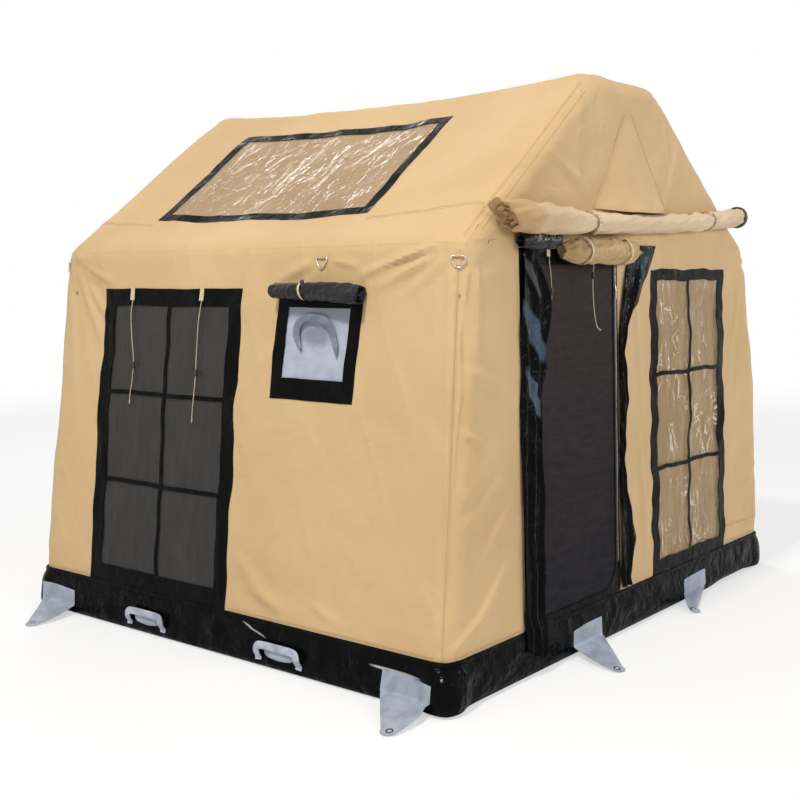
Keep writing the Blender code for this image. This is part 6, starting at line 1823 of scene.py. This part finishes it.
def tab_sheet(face, middle, lean, reach, frame_of_fold, ahead):
    """The outer and inner face of a tab: welded to the skirt above its fold, and free below it."""
    centre, along, out = frame_of_fold
    half = TAB_WIDTH / 2
    columns = np.linspace(-1, 1, 27)
    thick = unit(np.cross(along, ahead))
    thick = thick if thick[2] > 0 else -thick
    rows = []
    for share in np.linspace(1, 0, 9):
        level = TAB_FOLD + 0.004 + (TAB_TOP - TAB_FOLD - 0.004) * share
        sway = 0.004 * math.sin(middle * 7) * share
        across = middle + half * columns * (1 - 0.03 * share) + sway
        tilt = 0.010 * share * (columns * 0.5 - 0.4 * columns ** 2)
        spots = face(across, level + tilt)
        puff = 0.0012 * np.sin(columns * 5 + middle * 3) * share + corner_swell(spots)
        rows.append(flat_skin(spots, SKIRT_BULGE + 0.0021 + puff))
    for share in np.linspace(0, 1, 36)[1:]:
        depth = share * reach
        left, right = tongue_width(depth, lean, reach, half)
        across = left + (right - left) * (columns + 1) / 2
        curl = 0.004 * math.sin(math.pi * share) * (1 - columns ** 2)
        cup = 0.003 * np.sin(columns * 3 + middle) * math.sin(math.pi * share)
        swell = corner_swell(face(middle + across, TAB_FOLD)) * max(0.0, 1 - depth / 0.10)
        rows.append(centre + across[:, None] * along + depth * ahead + (curl + cup)[:, None] * thick
                    + swell[:, None] * out + 0.0004 * thick)
    outer = np.array(rows)
    normal = np.cross(np.gradient(outer, axis=1), np.gradient(outer, axis=0))
    normal /= np.linalg.norm(normal, axis=-1, keepdims=True)
    sign = np.sign((normal * (out + np.array((0.0, 0.0, 0.6)))).sum(-1).mean())
    inner = outer - sign * normal * TAB_THICK
    inner[..., 2] = np.maximum(inner[..., 2], 0.0004)
    outer[..., 2] = np.maximum(outer[..., 2], inner[..., 2] + 0.0012)
    return outer, inner


def add_tabs():
    for name, face, middle, lean, reach in TABS:
        centre, along, out = tab_frame(face, middle)
        drop = math.asin((centre[2] - 0.003) / reach)
        ahead = out * math.cos(drop) - np.array((0.0, 0.0, math.sin(drop)))
        outer, inner = tab_sheet(face, middle, lean, reach, (centre, along, out), ahead)
        piece = add_piece(f"anchor_{name}", stacked(outer, inner), slab_faces(*outer.shape[:2]), "tab",
                          body=None, stands_for=(f"tab_{name}",), sharp=50.0)
        spot = centre + along * lean + ahead * (reach - TAB_TIP)
        way = unit(np.cross(along, ahead))
        cut_hole(piece, spot, way, EYELET_HOLE)
        up = upward(face, 0.1)
        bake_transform(piece)
        way = way if way[2] > 0 else -way
        ring = [spot + (along * math.cos(turn) + ahead * math.sin(turn)) * EYELET_RIM + way * 0.0012
                for turn in all_round(24)]
        eyelet = add_sweep(f"anchor_{name}_eyelet", ring, EYELET_SECTION, way, "lock", closed=True,
                           body=f"tab_{name}")


def cut_hole(piece, spot, way, radius):
    """Cuts a round hole through a sheet."""
    side = unit(np.cross(way, (0.3, 0.5, 0.9)))
    other = np.cross(way, side)
    arms = np.array([side * math.cos(turn) + other * math.sin(turn) for turn in all_round(28)]) * radius
    rings = [spot + way * height + arms for height in (-0.02, 0.02)]
    mesh = bpy.data.meshes.new("cutter")
    mesh.from_pydata(stacked(*rings).tolist(), [], [face.tolist() for face in ring_faces(2, len(arms))])
    builder = bmesh.new()
    builder.from_mesh(mesh)
    bmesh.ops.recalc_face_normals(builder, faces=builder.faces)
    builder.to_mesh(mesh)
    builder.free()
    cutter = bpy.data.objects.new("cutter", mesh)
    bpy.context.scene.collection.objects.link(cutter)
    modifier = piece.modifiers.new("hole", "BOOLEAN")
    modifier.object = cutter
    modifier.solver = "EXACT"
    cut = bpy.data.meshes.new_from_object(piece.evaluated_get(bpy.context.evaluated_depsgraph_get()))
    piece.modifiers.clear()
    piece.data = cut
    bpy.data.objects.remove(cutter)


def tongue_width(depth, lean, reach, half):
    """The left and right edges of a tongue at a depth from its fold."""
    tip = reach - TAB_TIP
    end = tip + TAB_TIP * 0.17
    if depth <= end:
        share = depth / end
        left = -half + (lean - TAB_TIP + half) * share
        right = half + (lean + TAB_TIP - half) * share
        sweep = math.sin(math.pi * share)
        return left - 0.012 * sweep, right + 0.002 * sweep
    size = TAB_TIP * math.sqrt(max(0.004, 1 - min(1, ((depth - tip) / TAB_TIP)) ** 2))
    return lean - size, lean + size


HANDLE_HALF = 0.135
HANDLE_BAND = 0.017
HANDLE_LOW = 0.034
HANDLE_TALL = 0.120 - HANDLE_BAND - HANDLE_LOW
HANDLE_THICK = 0.005
PAD_HALF = (0.088, 0.0265)
PAD_Z = 0.0735


def add_handles():
    """Moulded handles: two feet on the skirt, a bar that stands off it and a pad behind the grip."""
    half = HANDLE_HALF - HANDLE_BAND
    leg = [(half - inward, HANDLE_LOW + HANDLE_TALL * share, lift) for inward, share, lift in (
        (0.0, 0.0, 0.0), (-0.001, 0.2, 0.0), (0.0, 0.45, 0.014), (0.002, 0.72, 0.020), (0.010, 0.93, 0.020),
        (0.032, 1.0, 0.020), (0.06, 1.0 + 0.001 / HANDLE_TALL, 0.0205))]
    middle_spot = (0.0, HANDLE_LOW + HANDLE_TALL + 0.001, 0.021)
    route = flowing([*leg, middle_spot, *[(-a, b, c) for a, b, c in reversed(leg)]], 6)
    turns = all_round(20)
    rounded = [np.sign(way) * np.abs(way) ** 0.6 for way in (np.cos(turns), np.sin(turns))]
    shape = np.stack((HANDLE_THICK * rounded[0], HANDLE_BAND * rounded[1]), -1)
    for name, face, middle in HANDLES:
        seat = SKIRT_BULGE + GAP + 0.004
        path = flat_skin(face(middle + route[:, 0], route[:, 1]), seat + route[:, 2])
        out = unit(flat_skin(face(middle, 0.08), 0.02) - flat_skin(face(middle, 0.08)))
        add_sweep(f"handle_{name}", path, shape, out, "handle", stands_for=(f"grab_handle_{name}",))
        grid = Grid(face, [middle - PAD_HALF[0], middle + PAD_HALF[0]], [PAD_Z - PAD_HALF[1], 0.100], 0.006)
        across = (grid.across - middle) / PAD_HALF[0]
        level = (grid.level - PAD_Z) / PAD_HALF[1]
        wide, tall = (np.sqrt(np.clip(1 - 0.42 * other ** 2, 0, 1)) for other in (level, across))
        points = face(middle + PAD_HALF[0] * across * wide, PAD_Z + PAD_HALF[1] * level * tall)
        swell = 0.016 * np.clip(1 - across ** 4, 0, 1) * np.clip(1 - level ** 4, 0, 1)
        layers = [flat_skin(points, SKIRT_BULGE + 0.0022 + swell), flat_skin(points, SKIRT_BULGE + 0.0002)]
        add_piece(f"handle_{name}_pad", stacked(*layers), slab_faces(*grid.across.shape), "tab")


RING_WIDE = 0.058
RING_TALL = 0.044
RING_WIRE = 0.0026
RING_HALF = ((0.42, 0.0), (0.49, 0.10), (0.46, 0.35), (0.22, 0.84), (0.10, 0.97))
LOOP_SECTION = ((0.0032, -1), (0.0048, -0.96), (0.0048, 0.96), (0.0032, 1))
LOOP_HALF_WIDTH = 0.013


def add_rings():
    """Wire rings for guy ropes, each in a webbing loop on a stitched patch."""
    outline = [*RING_HALF, (0.0, 1.0), *[(-a, b) for a, b in reversed(RING_HALF)]]
    for (side, face), (name, y) in itertools.product((("left", LEFT), ("right", RIGHT)), RING_PLACES):
        out = facing(face, y, RING_Z)
        along = unit(np.cross((0.0, 0.0, 1.0), out))
        down = np.cross(along, out)
        centre = skin(face(y, RING_Z), TRIM[1]) + out * 0.0041
        grid = Grid(face, [y - 0.03, y + 0.03], [RING_Z - 0.035, RING_Z + 0.0175], 0.006)
        patch = add_panel(f"ring_patch_{side}_{name}", grid, 0.0003, 0.0018, "seam")
        rings = []
        for turn in all_round(24):
            arm = out * math.cos(turn) + down * math.sin(turn)
            rings.append([centre + arm * size + along * reach * LOOP_HALF_WIDTH
                          for size, reach in LOOP_SECTION])
        loop = add_piece(f"ring_loop_{side}_{name}", rings, ring_faces(24, 4, closed=True), "cover")
        declare(patch)
        corners = [centre + along * a * RING_WIDE + down * b * RING_TALL for a, b in outline]
        moves = side == "left"
        add_sweep(f"ring_{side}_{name}", bent(corners, 0.003, 3, closed=True), circle(RING_WIRE, 14), out,
                  "metal", closed=True, body=f"tie_ring_{name}" if moves else "tent",
                  stands_for=(f"tie_ring_{name}",) if moves else ())


add_beams()
add_floor()
add_cover()
add_windows()
add_storm_roll()
add_curtain_roll()
add_port_roll()
add_stove_port()
add_door()
add_vent()
add_tabs()
add_handles()
add_rings()

# The valve's cap keeps its CAD shape
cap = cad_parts["valve_cap"].data.materials
cap.clear()
cap.append(LOOKS["valve"])


# Stage, light and background

def add_stage():
    """A pale ground that fades out, and looks brighter to the camera than it is to the light."""
    mesh = bpy.data.meshes.new("ground")
    rim = [(14 * math.cos(turn), 14 * math.sin(turn), -0.0005) for turn in all_round(96)]
    mesh.from_pydata(rim, [], [list(range(len(rim)))])
    ground = bpy.data.objects.new("ground", mesh)
    bpy.context.scene.collection.objects.link(ground)
    look = Look("ground")
    look.feed(look.shader, Base_Color=(0.90, 0.90, 0.90, 1.0), Roughness=0.95, Specular_IOR_Level=0.0)
    glow = look.feed(look.add("ShaderNodeEmission"), Color=(1.0, 1.0, 1.0, 1.0))
    rays = look.add("ShaderNodeLightPath").outputs
    lit = look.blend(look.math("MULTIPLY", rays["Is Camera Ray"], 0.55), look.shader, glow)
    fade = look.add("ShaderNodeMapRange", interpolation_type="SMOOTHSTEP")
    look.feed(fade, Value=look.length(look.place), From_Min=4.0, From_Max=13.0)
    clear = look.add("ShaderNodeBsdfTransparent")
    look.show("Material Output", look.blend(fade.outputs["Result"], lit, clear))
    mesh.materials.append(look.material)


def add_world():
    """A soft bluish sky to light the tent, seen as plain white by the camera and in reflections."""
    world = bpy.data.worlds.new("studio")
    bpy.context.scene.world = world
    tree = Nodes(world)
    plain = tree.feed(tree.nodes["Background"], Color=(0.93, 0.96, 1.0, 1.0), Strength=0.47)
    white = tree.feed(tree.add("ShaderNodeBackground"), Color=(1.0, 1.0, 1.0, 1.0), Strength=1.0)
    rays = tree.add("ShaderNodeLightPath").outputs
    seen = rays["Is Camera Ray"]
    for name in ("Is Glossy Ray", "Is Transmission Ray"):
        seen = tree.math("MAXIMUM", seen, rays[name])
    tree.show("World Output", tree.blend(seen, plain, white))


def add_lamp(name, place, aim, size, power, colour=(1.0, 1.0, 1.0)):
    data = bpy.data.lights.new(name, "AREA")
    data.shape = "DISK"
    data.size = size
    data.energy = power
    data.color = colour
    lamp = bpy.data.objects.new(name, data)
    back = unit(np.subtract(place, aim))
    side = unit(np.cross((0.0, 0.0, 1.0), back))
    columns = np.column_stack((side, np.cross(back, side), back))
    lamp.matrix_world = Matrix.Translation(place) @ Matrix(columns.tolist()).to_4x4()
    bpy.context.scene.collection.objects.link(lamp)


add_stage()
add_world()
add_lamp("key", (-5.6, -1.4, 7.6), (-0.7, -0.1, 1.3), 0.9, 500.0, (1.0, 0.975, 0.93))
add_lamp("fill", (-1.2, -8.5, 3.4), (0.2, -1.0, 1.0), 2.6, 150.0, (1.0, 0.985, 0.96))
add_lamp("glint", (5.2, -5.2, 3.0), (0.5, -1.2, 1.0), 0.8, 75.0)
add_lamp("back", (3.6, 6.0, 5.5), (0.0, 0.3, 1.6), 3.0, 170.0)
bpy.context.scene.view_settings.view_transform = "Standard"
